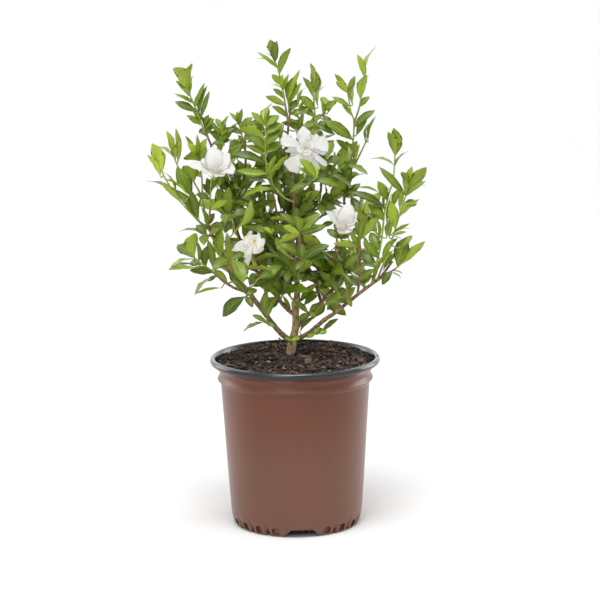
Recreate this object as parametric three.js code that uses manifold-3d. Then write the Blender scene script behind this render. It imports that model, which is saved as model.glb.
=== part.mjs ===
// Potted gardenia: a small double-flowered gardenia bush in a tapered round nursery pot.
// Millimetres, +Z up. The origin is the middle of the pot's underside, on the surface it stands on.

import * as THREE from "three";
import { mergeVertices } from "three/addons/utils/BufferGeometryUtils.js";
import Module from "manifold-3d";

const wasm = await Module();
wasm.setup();

// Pot: a moulded shell with a rolled lip, a collar under it, a tapered wall and a rounded foot.
const POT_HEIGHT = 230;
const LIP_RADIUS = 114.5;
const LIP_HEIGHT = 8.7;
const MOUTH_RADIUS = 107.8;
const COLLAR_RADIUS = 103.8;
const COLLAR_FOOT = 198;
const WALL_TOP_RADIUS = 99.9;
const WALL_FOOT_RADIUS = 89.4;
const WALL_FOOT_HEIGHT = 26;
const FOOT_RADIUS = 81.5;
const WALL = 2.2;
const FLOOR = 2.6;
const POT_SIDES = 36;
const FOOT_ROUND = 2;
const FOOT_ROUND_HEIGHT = 1.6;
const FOOT_BULGE = 2.2;
const FOOT_BULGE_HEIGHT = 9;
const COLLAR_STEP = 5;
const COLLAR_TAPER = 1;
const LIP_EDGE = 1.2;
const LIP_SIDE_HEIGHT = 4;
const LIP_ROUND = 2.4;
const LIP_THROAT = 15;

// Under the pot: an arched channel at the front and the back, and drainage holes between them.
const FOOT_TURN = 5.4;
const ARCH_FOOT_WIDTH = 48;
const ARCH_TOP_WIDTH = 26;
const ARCH_HEIGHT = 8.5;
const ARCH_DEPTH = 24;
const DRAIN_COUNT = 18;
const DRAIN_FIRST = 22.7;
const DRAIN_STEP = 16.8;
const DRAIN_WIDTH = 10.5;
const DRAIN_LOW = 3.2;
const DRAIN_HIGH = 13.5;
const DRAIN_DEPTH = 14;
const CUT_PAST = 7;
const BRIDGE_FOOT = 0.2;

// Potting mix: fills the pot to just under the lip, a little higher round the trunk.
const SOIL_EDGE = 224.8;
const SOIL_CROWN = 5;
const SOIL_LUMP = 1.5;
const SOIL_SIDES = 24;
const SOIL_RINGS = [0.995, 0.9, 0.72, 0.5, 0.25];
const SOIL_GAP = 0.7;

const GAP = 0.3;
const WELD = 1e-4;
const TIDY = 0.2;

const SHOOT_RADIUS = [1.55, 0.85];
const BUD_LENGTH = 3;
const LEAF_THICKNESS = 1.2;
const LONG_LEAF = 44;
const ROOT_DEPTH = 1;

// Blooms, with places along the bloom's axis counted from its heart.
const PETAL_THICKNESS = 1.3;
const PETAL_ARCH = 0.1;
const PETAL_FOLD = 0.3;
const WIDE_PETAL = 20;
const PETAL_ROOT_RADIUS = 1.9;
const INNER_PETAL_ARCH = -0.12;
const INNER_PETAL_FOLD = 0.45;
const INNER_PETAL_START = 0.6;
const TUBE_FOOT = -3.6;
const TUBE_MOUTH = 2.2;
const TUBE_RADIUS = [2.7, 3.4];
const STAMEN_FOOT = 1.6;
const STAMEN_TIP = 7.6;
const STAMEN_RADIUS = [1.6, 1.1];
const STAMEN_ROOM = 0.5;
const CALYX_FOOT = -10;
const CALYX_TOP = -4;
const CALYX_RADIUS = [1.9, 3.1];
const BLOOM_STALK_RADIUS = [1.3, 1.9];

// The bush is measured as it shows from one eye point in front of it, on the upright plane
// through the pot's axis. A place further back is slid along its line of sight.
const EYE = new THREE.Vector3(7.65, -3533.5, 995.4);

function seen([across, up, back]) {
  const reach = 1 + back / -EYE.y;
  return new THREE.Vector3(
    EYE.x + (across - EYE.x) * reach,
    back,
    EYE.z + (up - EYE.z) * reach,
  );
}

// Woody frame: points across, up and back, then the radius at each end and the number of sides.
const LIMBS = {
  trunk: {
    path: [[-7, 190, 5], [-7, 226, 5], [-3, 250, 5], [1, 268, 5], [2, 290, 6], [4, 318, 8],
      [3, 340, 10], [-5, 368, 14], [-15, 388, 16]],
    radius: [6.2, 2.3],
    sides: 7,
  },
  left_limb: {
    path: [[-3, 249, 5], [-20, 263, 0], [-40, 289, -8], [-60, 317, -18], [-78, 340, -26],
      [-95, 370, -30], [-108, 395, -32], [-117, 417, -34]],
    radius: [3.8, 2.1],
    sides: 6,
  },
  left_low_twig: {
    path: [[-60, 317, -18], [-80, 324, -26], [-97, 335, -36]],
    radius: [1.9, 1.6],
    sides: 5,
  },
  left_rear_limb: {
    path: [[2, 285, 6], [-10, 295, 14], [-20, 307, 22], [-40, 335, 34], [-60, 360, 44],
      [-75, 400, 50], [-80, 420, 50]],
    radius: [3.2, 1.9],
    sides: 6,
  },
  low_bloom_twig: {
    path: [[-40, 335, 34], [-46, 350, 26], [-51, 364, 16]],
    radius: [1.8, 1.5],
    sides: 5,
  },
  upper_left_twig: {
    path: [[-80, 420, 50], [-92, 450, 48], [-102, 480, 44], [-108, 517, 38]],
    radius: [1.8, 1.5],
    sides: 5,
  },
  rear_left_twig: {
    path: [[-80, 420, 50], [-72, 450, 52], [-64, 480, 50], [-62, 505, 48]],
    radius: [1.7, 1.4],
    sides: 5,
  },
  right_rear_limb: {
    path: [[1, 266, 5], [13, 281, 18], [38, 305, 36], [55, 325, 48], [78, 360, 60],
      [86, 378, 62], [74, 410, 60], [68, 440, 56]],
    radius: [3.4, 1.6],
    sides: 6,
  },
  centre_rear_twig: {
    path: [[36, 304, 35], [25, 340, 44], [12, 365, 46], [8, 392, 44], [22, 420, 46],
      [35, 448, 46], [38, 470, 46], [36, 510, 44]],
    radius: [2.3, 1.4],
    sides: 5,
  },
  right_bloom_twig: {
    path: [[55, 325, 48], [54, 345, 26], [55, 362, 4], [58, 385, -18]],
    radius: [1.9, 1.5],
    sides: 5,
  },
  big_bloom_twig: {
    path: [[-5, 368, 14], [-2, 400, 2], [1, 425, -8], [1, 455, -14], [0, 480, -14]],
    radius: [2, 1.6],
    sides: 5,
  },
  top_twig: {
    path: [[-15, 388, 16], [-13, 420, 26], [-12, 440, 30], [-10, 480, 34], [-5, 545, 36]],
    radius: [1.9, 1.4],
    sides: 5,
  },
  centre_twig: {
    path: [[-15, 388, 16], [-20, 408, 13], [-22, 425, 12]],
    radius: [1.8, 1.5],
    sides: 5,
  },
  front_twig: {
    path: [[3, 338, 10], [4, 356, -16], [7, 378, -44], [8, 392, -62]],
    radius: [1.9, 1.5],
    sides: 5,
  },
  right_limb: {
    path: [[1, 252, 5], [20, 262, -2], [40, 279, -8], [55, 289, -12], [85, 313, -20],
      [116, 336, -28]],
    radius: [3.4, 2.1],
    sides: 6,
  },
  right_front_twig: {
    path: [[85, 313, -20], [88, 340, -42], [89, 366, -60]],
    radius: [1.8, 1.5],
    sides: 5,
  },
  right_pruned_stub: {
    path: [[115, 335, -27], [124, 347, -25], [132, 358, -23]],
    radius: [1.7, 1.6],
    sides: 5,
  },
};

// Leafy shoots. A stem is a list of points across, up and back, and its first point is on the
// wood. A leaf is its kind, where it leaves the stem, where its tip shows, and how wide it shows.
// Kinds: D full-grown, upper side to the eye; P lower side to the eye; B young, upper side to
// the eye; T nearly edge on.
const SHOOTS = [
  {
    name: "top_left_shoot",
    stems: [
      [[-5, 545, 36], [-9, 570, 34], [-12, 590, 30], [-18, 618, 25], [-22, 628, 24]],
      [[-5, 545, 36], [-3, 560, 34], [-5, 573, 31]],
    ],
    leaves: [
      ["P", -23, 628, -27, 657, 12], ["D", -22, 627, -19, 655, 9], ["T", -22, 626, -33, 639, 6],
      ["T", -20, 620, -46, 632, 5], ["P", -15, 610, -1, 646, 9], ["P", -13, 595, -26, 611, 8],
      ["B", -12, 592, -12, 611, 5], ["B", -11, 588, -4, 611, 5], ["T", -12, 590, -28, 597, 4],
      ["P", -10, 578, -25, 592, 6], ["P", -8, 568, -35, 582, 8], ["P", -5, 573, 4, 608, 13],
      ["D", -5, 573, 11, 617, 6], ["D", -4, 570, 13, 600, 6], ["T", -4, 566, 18, 592, 5],
      ["D", -6, 553, -27, 569, 7], ["D", -4, 560, 10, 577, 8], ["D", -3, 557, 15, 562, 7],
    ],
  },
  {
    name: "top_right_shoot",
    stems: [
      [[36, 510, 44], [33, 530, 43], [31, 548, 42], [30, 562, 41], [28, 585, 40]],
      [[31, 548, 42], [38, 554, 46], [44, 562, 48]],
    ],
    leaves: [
      ["P", 28, 585, 28, 618, 12], ["P", 29, 578, 15, 607, 7], ["T", 30, 568, 45, 596, 5],
      ["D", 30, 562, 10, 582, 10], ["D", 31, 553, 10, 568, 8], ["B", 44, 562, 41, 581, 10],
      ["D", 43, 560, 60, 575, 8], ["D", 32, 546, 14, 540, 9], ["D", 33, 536, 28, 528, 10],
      ["D", 40, 556, 51, 536, 9], ["T", 35, 514, 57, 532, 5], ["D", 32, 538, 46, 545, 9],
    ],
  },
  {
    name: "upper_left_shoot",
    stems: [
      [[-108, 517, 38], [-115, 535, 36], [-120, 545, 34], [-125, 560, 30], [-137, 590, 22],
        [-140, 600, 20]],
      [[-108, 517, 38], [-98, 527, 42], [-92, 541, 46]],
    ],
    leaves: [
      ["P", -139, 596, -153, 622, 17], ["P", -139, 598, -131, 627, 7], ["D", -135, 587, -133, 604, 6],
      ["D", -138, 592, -150, 602, 8], ["T", -130, 575, -152, 583, 4], ["D", -126, 562, -155, 576, 9],
      ["D", -123, 556, -112, 597, 6], ["D", -122, 552, -109, 590, 6], ["B", -128, 568, -124, 586, 5],
      ["B", -120, 546, -137, 555, 7], ["D", -113, 531, -103, 547, 7], ["D", -116, 537, -107, 555, 7],
      ["D", -112, 528, -122, 540, 8], ["B", -96, 532, -88, 546, 7], ["D", -98, 527, -75, 540, 8],
      ["T", -92, 541, -82, 557, 5], ["D", -93, 538, -101, 553, 7], ["D", -104, 521, -90, 517, 9],
    ],
  },
  {
    name: "upper_inner_shoot",
    stems: [[[-62, 505, 48], [-66, 525, 46], [-70, 545, 44]]],
    leaves: [
      ["T", -70, 545, -78, 558, 5], ["B", -70, 545, -73, 562, 7], ["B", -69, 543, -66, 566, 6],
      ["D", -69, 540, -52, 554, 7], ["P", -63, 508, -72, 531, 7], ["D", -65, 522, -47, 536, 10],
      ["D", -63, 512, -84, 522, 10], ["D", -67, 532, -84, 541, 8],
    ],
  },
  {
    name: "far_left_shoot",
    stems: [[[-111, 402, -33], [-124, 413, -44], [-137, 427, -50], [-150, 442, -55],
      [-165, 465, -60], [-174, 482, -62]]],
    leaves: [
      ["P", -174, 482, -186, 521, 15], ["T", -150, 442, -194, 471, 6], ["P", -145, 438, -176, 470, 7],
      ["T", -156, 453, -172, 483, 5], ["D", -130, 422, -157, 459, 9], ["D", -126, 419, -138, 460, 9],
    ],
  },
  {
    name: "left_tall_shoot",
    stems: [
      [[-117, 417, -34], [-119, 432, -30], [-121, 446, -28], [-130, 465, -30], [-140, 480, -33],
        [-151, 487, -36], [-156, 498, -38]],
      [[-121, 446, -28], [-121, 470, -16], [-123, 488, -10], [-126, 502, -6]],
    ],
    leaves: [
      ["T", -156, 498, -188, 518, 6], ["P", -156, 498, -165, 528, 8], ["P", -153, 492, -154, 541, 7],
      ["P", -132, 468, -142, 491, 16], ["P", -125, 497, -141, 505, 14], ["B", -126, 500, -139, 521, 9],
      ["B", -126, 500, -114, 525, 8], ["B", -126, 502, -126, 532, 5], ["P", -126, 502, -142, 531, 5],
      ["D", -122, 485, -114, 517, 8], ["D", -121, 474, -134, 482, 7],
    ],
  },
  {
    name: "left_bloom_shoot",
    bloom: "left_bloom",
    stems: [[[-114, 409, -33], [-111, 430, -44], [-110, 455, -52], [-109, 470, -56]]],
    leaves: [
      ["D", -110, 452, -115, 474, 8], ["D", -110, 448, -121, 466, 7], ["B", -111, 432, -88, 443, 9],
      ["D", -110, 444, -128, 452, 8], ["D", -110, 455, -98, 474, 8],
    ],
  },
  {
    name: "left_inner_shoot",
    stems: [[[-80, 418, 50], [-84, 438, 38], [-87, 455, 28]]],
    sprays: [[[[-84, 438, 38], [-74, 450, 26], [-66, 466, 16]], 3, 36, 20]],
    leaves: [
      ["D", -87, 455, -104, 474, 9], ["D", -82, 430, -73, 466, 9], ["D", -85, 444, -92, 474, 8],
      ["D", -82, 428, -60, 442, 9], ["D", -86, 450, -68, 472, 9], ["D", -81, 424, -98, 438, 9],
    ],
  },
  {
    name: "low_left_shoot",
    stems: [[[-97, 335, -36], [-112, 349, -50], [-125, 359, -62], [-133, 366, -70]]],
    leaves: [
      ["P", -133, 366, -133, 400, 16], ["D", -132, 365, -156, 384, 14], ["T", -130, 363, -167, 351, 7],
      ["D", -118, 353, -116, 382, 10], ["D", -108, 345, -140, 349, 10], ["B", -104, 341, -117, 334, 5],
      ["T", -102, 339, -134, 315, 5], ["D", -122, 357, -140, 359, 9],
    ],
  },
  {
    name: "left_side_shoot",
    stems: [[[-107, 393, -32], [-113, 396, -44], [-118, 397, -54]]],
    leaves: [
      ["T", -117, 397, -155, 401, 6], ["D", -116, 397, -120, 383, 11], ["D", -113, 396, -98, 408, 9],
      ["D", -116, 397, -130, 410, 10],
    ],
  },
  {
    name: "left_front_shoot",
    stems: [[[-91, 362, -30], [-87, 362, -46], [-83, 363, -60]]],
    leaves: [
      ["D", -83, 363, -68, 331, 18], ["D", -85, 363, -109, 350, 13], ["D", -87, 362, -98, 378, 9],
      ["D", -84, 363, -66, 372, 9],
    ],
  },
  {
    name: "left_low_front_shoot",
    stems: [[[-59, 316, -18], [-62, 314, -30], [-66, 312, -42]]],
    leaves: [
      ["D", -66, 312, -97, 285, 15], ["D", -66, 312, -56, 297, 8], ["D", -63, 313, -84, 339, 6],
      ["D", -64, 313, -50, 322, 8],
    ],
  },
  {
    name: "left_lowest_shoot",
    stems: [[[-38, 286, -7], [-37, 281, -19], [-38, 276, -29]]],
    leaves: [
      ["T", -38, 276, -69, 265, 6], ["D", -38, 277, -57, 287, 6], ["D", -37, 282, -37, 321, 10],
      ["D", -37, 280, -24, 311, 8], ["D", -38, 277, -26, 270, 6],
    ],
  },
  {
    name: "low_bloom_shoot",
    bloom: "low_bloom",
    stems: [[[-51, 364, 16], [-53, 374, 6], [-54, 381, -2]]],
    leaves: [
      ["D", -53, 372, -86, 388, 9], ["D", -52, 368, -40, 377, 8],
    ],
  },
  {
    name: "low_centre_shoot",
    stems: [[[0, 354, 12], [-3, 351, -4], [-6, 349, -18]]],
    sprays: [[[[-3, 351, -4], [-20, 366, 5], [-33, 380, 15]], 2, 34, 50]],
    leaves: [
      ["D", -6, 349, -57, 326, 13], ["D", -5, 350, -33, 352, 15], ["D", -6, 349, -10, 331, 11],
      ["D", -4, 351, -22, 372, 10],
    ],
  },
  {
    name: "centre_shoot",
    stems: [[[8, 392, -62], [8, 396, -74], [8, 399, -84]]],
    leaves: [
      ["D", 8, 399, -18, 425, 9], ["P", 8, 399, 5, 421, 14], ["D", 8, 399, 36, 424, 12],
      ["P", 8, 399, 17, 411, 6], ["P", 8, 394, -20, 385, 9], ["P", 8, 396, -14, 408, 9],
      ["D", 8, 395, 45, 408, 9],
    ],
  },
  {
    name: "centre_low_shoot",
    stems: [[[5, 366, -28], [10, 363, -42], [15, 361, -54]]],
    leaves: [
      ["D", 15, 361, 48, 381, 12], ["D", 14, 361, 46, 369, 10], ["D", 12, 362, 9, 385, 10],
      ["D", 9, 364, -19, 384, 10], ["D", 15, 361, 2, 347, 9],
    ],
  },
  {
    name: "centre_left_shoot",
    stems: [[[-18, 399, 14], [-24, 398, 2], [-28, 397, -8]]],
    sprays: [[[[-24, 398, 2], [-36, 412, 10], [-48, 428, 14]], 3, 38, 60]],
    leaves: [
      ["B", -28, 397, -41, 406, 6], ["B", -28, 397, -26, 408, 5], ["D", -26, 397, -68, 408, 10],
      ["D", -25, 397, -35, 421, 13],
    ],
  },
  {
    name: "centre_upper_shoot",
    stems: [[[-22, 425, 12], [-28, 458, 4], [-33, 475, 0], [-36, 500, -4], [-36, 520, -5],
      [-35, 545, -4]]],
    leaves: [
      ["P", -36, 522, -70, 541, 15], ["P", -36, 502, -62, 517, 7], ["B", -34, 478, -75, 483, 10],
      ["D", -36, 492, -82, 505, 10], ["P", -33, 474, -22, 503, 8], ["P", -33, 472, -5, 503, 8],
      ["P", -28, 458, -52, 458, 7], ["P", -24, 436, -67, 437, 8], ["D", -25, 442, -70, 422, 9],
      ["D", -36, 515, -16, 536, 11], ["D", -36, 510, -58, 530, 11], ["D", -36, 505, -14, 521, 11],
      ["B", -35, 545, -33, 568, 11], ["T", -35, 545, -25, 575, 5], ["D", -35, 542, -54, 561, 8],
      ["D", -35, 534, -60, 547, 11], ["D", -35, 530, -13, 545, 11], ["D", -35, 540, -17, 556, 10],
      ["D", -30, 465, -12, 478, 9], ["D", -27, 452, -12, 464, 9],
    ],
  },
  {
    name: "big_bloom_shoot",
    bloom: "big_bloom",
    stems: [[[0, 480, -14], [5, 494, -12], [11, 505, -14]]],
    leaves: [],
  },
  {
    name: "bright_front_shoot",
    stems: [[[1, 450, -13], [12, 458, -34], [24, 467, -54], [31, 472, -64]]],
    leaves: [
      ["B", 31, 472, 9, 498, 10], ["B", 30, 471, 7, 486, 6], ["D", 20, 464, -5, 452, 8],
      ["D", 27, 469, 61, 460, 9], ["B", 31, 472, 28, 489, 7],
    ],
  },
  {
    name: "bloom_side_shoot",
    stems: [[[37, 462, 46], [40, 473, 34], [43, 486, 24], [45, 496, 18]]],
    sprays: [[[[40, 473, 34], [54, 478, 22], [68, 488, 14]], 3, 36, 10]],
    leaves: [
      ["D", 45, 496, 53, 521, 12], ["D", 44, 490, 62, 500, 9], ["D", 41, 477, 45, 492, 9],
      ["D", 40, 473, 56, 474, 9], ["D", 41, 476, 30, 488, 9],
    ],
  },
  {
    name: "behind_bloom_shoot",
    stems: [[[26, 428, 46], [31, 434, 32], [35, 438, 20]]],
    sprays: [[[[31, 434, 32], [16, 446, 22], [4, 458, 16]], 3, 36, 75]],
    leaves: [
      ["D", 35, 438, 27, 455, 11], ["D", 35, 438, 55, 447, 13], ["D", 33, 436, 58, 430, 12],
      ["D", 33, 436, 14, 441, 9], ["D", 34, 437, 40, 422, 10],
    ],
  },
  {
    name: "right_bloom_shoot",
    bloom: "right_bloom",
    stems: [[[58, 385, -18], [58, 394, -26], [58, 400, -32]]],
    leaves: [
      ["D", 58, 389, 45, 403, 8], ["D", 58, 392, 74, 391, 8],
    ],
  },
  {
    name: "low_right_centre_shoot",
    stems: [[[53, 323, 46], [51, 327, 32], [49, 330, 22]]],
    sprays: [[[[51, 327, 32], [66, 338, 22], [80, 350, 14]], 3, 36, 30]],
    leaves: [
      ["D", 49, 330, 20, 345, 12], ["D", 49, 330, 66, 347, 9], ["D", 50, 328, 33, 322, 8],
    ],
  },
  {
    name: "trunk_shoot",
    stems: [[[13, 281, 18], [17, 286, 8], [20, 290, 0]]],
    leaves: [
      ["D", 19, 289, 4, 278, 7], ["D", 20, 290, 33, 302, 7], ["D", 19, 288, 0, 306, 7],
      ["B", 20, 290, 29, 284, 5],
    ],
  },
  {
    name: "right_lowest_shoot",
    stems: [[[24, 265, -3], [25, 262, -14], [26, 260, -22]]],
    leaves: [
      ["B", 26, 260, 34, 269, 6], ["B", 26, 260, 16, 254, 6], ["D", 26, 261, 43, 262, 8],
    ],
  },
  {
    name: "trunk_sprout",
    stems: [[[-5, 244, 5], [-5, 248, -6], [-5, 251, -14]]],
    leaves: [
      ["B", -5, 251, 7, 256, 6], ["B", -5, 250, -14, 256, 5],
    ],
  },
  {
    name: "right_low_shoot",
    stems: [[[68, 300, -15], [70, 312, -20], [70, 322, -24]]],
    leaves: [
      ["D", 70, 322, 70, 342, 9], ["D", 70, 320, 83, 333, 7], ["D", 70, 314, 59, 322, 7],
      ["D", 69, 308, 77, 296, 6], ["D", 69, 306, 56, 302, 6],
    ],
  },
  {
    name: "right_front_shoot",
    stems: [[[89, 366, -60], [89, 377, -70], [89, 387, -78]]],
    leaves: [
      ["P", 89, 387, 112, 418, 10], ["P", 89, 387, 84, 413, 10], ["P", 89, 378, 53, 383, 9],
      ["D", 89, 382, 101, 425, 7], ["D", 89, 376, 76, 396, 8], ["D", 89, 370, 68, 350, 10],
      ["D", 89, 372, 104, 355, 10],
    ],
  },
  {
    name: "right_end_shoot",
    stems: [[[116, 336, -28], [130, 344, -36], [140, 351, -42]]],
    leaves: [
      ["P", 140, 351, 176, 385, 10], ["D", 139, 350, 150, 391, 17], ["T", 130, 344, 146, 341, 5],
      ["T", 126, 342, 144, 335, 4], ["D", 132, 345, 118, 326, 9],
    ],
  },
  {
    name: "right_tall_shoot",
    stems: [[[104, 327, -25], [109, 350, -18], [114, 368, -13], [118, 390, -8], [122, 425, 0],
      [128, 450, 4], [133, 465, 6], [135, 482, 7], [136, 500, 8]]],
    sprays: [[[[118, 390, -8], [106, 402, 4], [96, 416, 14]], 3, 38, 40]],
    leaves: [
      ["D", 114, 354, 82, 370, 12], ["D", 114, 347, 84, 328, 10], ["P", 114, 354, 137, 368, 8],
      ["B", 116, 372, 103, 398, 12], ["D", 121, 412, 100, 436, 12], ["T", 122, 426, 132, 462, 6],
      ["D", 126, 440, 113, 467, 11], ["D", 122, 430, 76, 453, 9], ["P", 136, 500, 127, 533, 11],
      ["P", 136, 500, 135, 538, 14], ["T", 135, 487, 103, 497, 5], ["T", 135, 483, 154, 507, 5],
    ],
  },
  {
    name: "right_long_shoot",
    stems: [[[111, 332, -27], [119, 352, -38], [126, 370, -42], [134, 395, -42], [143, 425, -42],
      [151, 450, -40], [153, 465, -38]]],
    leaves: [
      ["B", 136, 402, 130, 440, 13], ["D", 146, 435, 165, 437, 9], ["T", 134, 395, 156, 402, 6],
      ["T", 133, 391, 144, 388, 4], ["D", 150, 447, 115, 486, 9], ["P", 151, 450, 178, 485, 14],
      ["P", 153, 463, 145, 479, 8], ["B", 153, 465, 159, 486, 7], ["T", 149, 444, 176, 461, 6],
    ],
  },
  {
    name: "upper_right_shoot",
    stems: [
      [[68, 440, 56], [73, 465, 52], [79, 505, 46], [82, 545, 42], [78, 560, 40], [74, 585, 38]],
      [[82, 545, 42], [88, 562, 40], [91, 575, 38], [97, 608, 34]],
      [[77, 490, 48], [84, 493, 38], [92, 508, 30], [98, 521, 26]],
    ],
    leaves: [
      ["D", 70, 448, 77, 494, 14], ["T", 73, 462, 50, 475, 5], ["T", 73, 464, 99, 477, 5],
      ["D", 69, 446, 90, 464, 9], ["D", 71, 454, 86, 447, 8], ["P", 79, 503, 58, 523, 8],
      ["P", 79, 500, 71, 521, 8], ["D", 78, 497, 86, 521, 10], ["D", 82, 538, 110, 562, 9],
      ["D", 80, 522, 42, 549, 13], ["T", 98, 520, 93, 538, 4], ["T", 98, 521, 101, 544, 4],
      ["T", 97, 519, 108, 549, 4], ["P", 74, 585, 57, 611, 7], ["P", 74, 584, 59, 601, 9],
      ["D", 74, 585, 84, 608, 6], ["D", 77, 566, 53, 580, 6], ["T", 79, 556, 65, 567, 4],
      ["P", 78, 562, 90, 589, 8], ["B", 96, 604, 87, 636, 8], ["T", 97, 608, 112, 646, 5],
      ["P", 91, 576, 99, 609, 11], ["T", 96, 602, 104, 609, 4], ["D", 89, 566, 103, 580, 7],
    ],
  },
];

// Shoots on the far side of the bush. A spray is a stem with its leaves in crossed pairs: the
// stem, the number of pairs, the length of a leaf and the turn of the first pair in degrees.
const REAR_SHOOTS = [
  ["rear_low_left_shoot", [[-38, 332, 33], [-45, 348, 60], [-50, 362, 84]], 3, 42, 20],
  ["rear_left_shoot", [[-72, 392, 49], [-84, 410, 76], [-88, 428, 100]], 3, 44, 70],
  ["rear_upper_left_shoot", [[-73, 447, 52], [-78, 470, 80], [-80, 492, 102]], 3, 42, 10],
  ["rear_top_left_shoot", [[-11, 460, 32], [-22, 490, 62], [-30, 515, 84]], 3, 44, 40],
  ["rear_top_shoot", [[37, 480, 46], [30, 505, 74], [24, 528, 94]], 3, 42, 80],
  ["rear_centre_shoot", [[15, 406, 45], [8, 424, 78], [2, 442, 106]], 3, 46, 30],
  ["rear_right_shoot", [[84, 383, 62], [90, 400, 88], [92, 420, 110]], 3, 44, 60],
  ["rear_upper_right_shoot", [[69, 432, 57], [66, 456, 84], [64, 478, 104]], 3, 44, 15],
  ["rear_low_right_shoot", [[66, 342, 54], [72, 350, 80], [74, 362, 102]], 3, 42, 45],
  ["rear_low_shoot", [[12, 363, 46], [2, 372, 76], [-6, 384, 102]], 3, 44, 75],
  ["rear_lowest_shoot", [[-18, 304, 21], [-22, 314, 48], [-24, 326, 70]], 3, 40, 25],
  ["rear_side_shoot", [[36, 304, 35], [44, 300, 60], [50, 306, 82]], 3, 38, 50],
];

// Blooms: the heart, the way it faces, its outer petals and its inner rings. A petal is where
// its tip shows, how far its tip is behind the heart, and its width. A ring is the number of
// petals, their length, their lean from the way it faces, their width and the turn of the first.
const BLOOMS = {
  big_bloom: {
    heart: [17, 513, -30],
    faces: [0.05, -0.93, 0.3],
    petals: [
      [14, 542, 6, 20], [42, 525, 3, 25], [49, 512, 7, 19], [46, 488, 2, 8],
      [35, 481, 9, 8], [21, 492, 0, 19], [-5, 482, -4, 25], [-11, 508, 8, 9],
      [-16, 525, 4, 17], [30, 532, 9, 17], [-1, 497, 8, 15],
    ],
    rings: [[4, 13, 72, 13, 20], [3, 9, 58, 8, 45]],
  },
  left_bloom: {
    heart: [-103, 479, -62],
    faces: [0.2, -0.5, 0.85],
    petals: [
      [-106, 515, 4, 30], [-139, 492, -5, 21], [-84, 507, 5, 22], [-77, 486, -5, 26],
      [-92, 473, -11, 22], [-105, 476, -11, 18], [-120, 500, 6, 20], [-96, 509, 10, 18],
    ],
    rings: [[3, 17, 22, 11, 90]],
  },
  right_bloom: {
    heart: [65, 402, -40],
    faces: [0.2, -0.5, 0.85],
    petals: [
      [75, 437, 3, 24], [44, 428, -4, 19], [85, 426, 3, 20], [85, 411, -3, 22],
      [78, 399, -8, 20], [67, 396, -10, 18], [55, 412, -5, 17], [61, 430, 8, 18],
      [67, 417, -10, 17],
    ],
    rings: [[3, 16, 30, 10, 10]],
  },
  low_bloom: {
    heart: [-53, 387, -14],
    faces: [0.12, -0.9, 0.35],
    petals: [
      [-63, 396, -3, 21], [-42, 391, -3, 20], [-40, 381, -4, 18], [-46, 371, -4, 17],
      [-82, 376, 0, 14], [-69, 366, -2, 16], [-69, 348, 3, 8], [-68, 386, -1, 16],
      [-52, 395, -1, 15],
    ],
    rings: [[3, 6, 80, 8, 15]],
  },
};

const LEAF_LENGTH_PER_WIDTH = 2.7;
const EDGE_ON_WIDTH_SHARE = 0.3;
const LONGEST_REACH = 30;
const KINDS = {
  D: { turn: 24, arch: 0.1, fold: 0.22 },
  P: { turn: 152, arch: 0.09, fold: 0.26 },
  B: { turn: 20, arch: 0.08, fold: 0.28 },
  T: { turn: 74, arch: 0.12, fold: 0.2 },
};

// A leaf that would touch another shoot is swung along its line of sight, then made smaller.
const LEAF_SWINGS = [0, -8, 8, -16, 16, -24, 24, -32, 32, -40, 40];
const LEAF_SCALES = [1, 0.85, 0.7, 0.55];
const FUSED_VOLUME = 3;
const CLEARANCE = 0.4;

function solidOf(geometry) {
  geometry.deleteAttribute("normal");
  geometry.deleteAttribute("uv");
  const welded = mergeVertices(geometry, WELD);
  return new wasm.Manifold(new wasm.Mesh({
    numProp: 3,
    vertProperties: new Float32Array(welded.attributes.position.array),
    triVerts: new Uint32Array(welded.index.array),
  }));
}

function geometryOf(solid) {
  const mesh = solid.getMesh();
  const geometry = new THREE.BufferGeometry();
  geometry.setAttribute("position", new THREE.BufferAttribute(mesh.vertProperties, 3));
  geometry.setIndex(new THREE.BufferAttribute(mesh.triVerts, 1));
  geometry.computeVertexNormals();
  return geometry;
}

function fuse(solids) {
  return wasm.Manifold.union(solids);
}

// The one body that holds together, without loose scraps and sealed hollows.
function largestBody(solid) {
  const largest = (whole) => whole.decompose().sort((a, b) => b.volume() - a.volume())[0];
  return largest(largest(solid).asOriginal().simplify(TIDY));
}

// A seeded draw between 0 and 1.
function draw(seed) {
  const wave = Math.sin(seed * 12.9898) * 43758.5453;
  return wave - Math.floor(wave);
}

// A round bar through the points, with a radius at each end, grown on all sides if asked.
function bar(points, radius, sides, grow = 0) {
  const steps = points.length - 1;
  const geometry = new THREE.CylinderGeometry(1, 1, 1, sides, steps);
  const rings = [];
  let across = new THREE.Vector3(1, 0, 0);
  points.forEach((point, i) => {
    const before = points[Math.max(i - 1, 0)];
    const after = points[Math.min(i + 1, steps)];
    const along = after.clone().sub(before).normalize();
    across = across.clone().addScaledVector(along, -across.dot(along)).normalize();
    const place = point.clone();
    if (i === 0) place.addScaledVector(along, -grow);
    if (i === steps) place.addScaledVector(along, grow);
    rings.push({ place, across, side: across.clone().cross(along) });
  });
  const position = geometry.attributes.position;
  for (let i = 0; i < position.count; i += 1) {
    const t = position.getY(i) + 0.5;
    const ring = rings[Math.round(t * steps)];
    const r = THREE.MathUtils.lerp(radius[0], radius[1], t) + grow;
    const spot = ring.place.clone()
      .addScaledVector(ring.across, position.getX(i) * r)
      .addScaledVector(ring.side, position.getZ(i) * r);
    position.setXYZ(i, spot.x, spot.y, spot.z);
  }
  return solidOf(geometry);
}

// How wide a blade is along its length, as a share of its greatest width.
function leafWidth(t) {
  return Math.sin(Math.PI * t ** 1.1) ** 0.75;
}

function petalWidth(t) {
  return Math.sin(Math.PI * t ** 1.35) ** 0.6;
}

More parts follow.
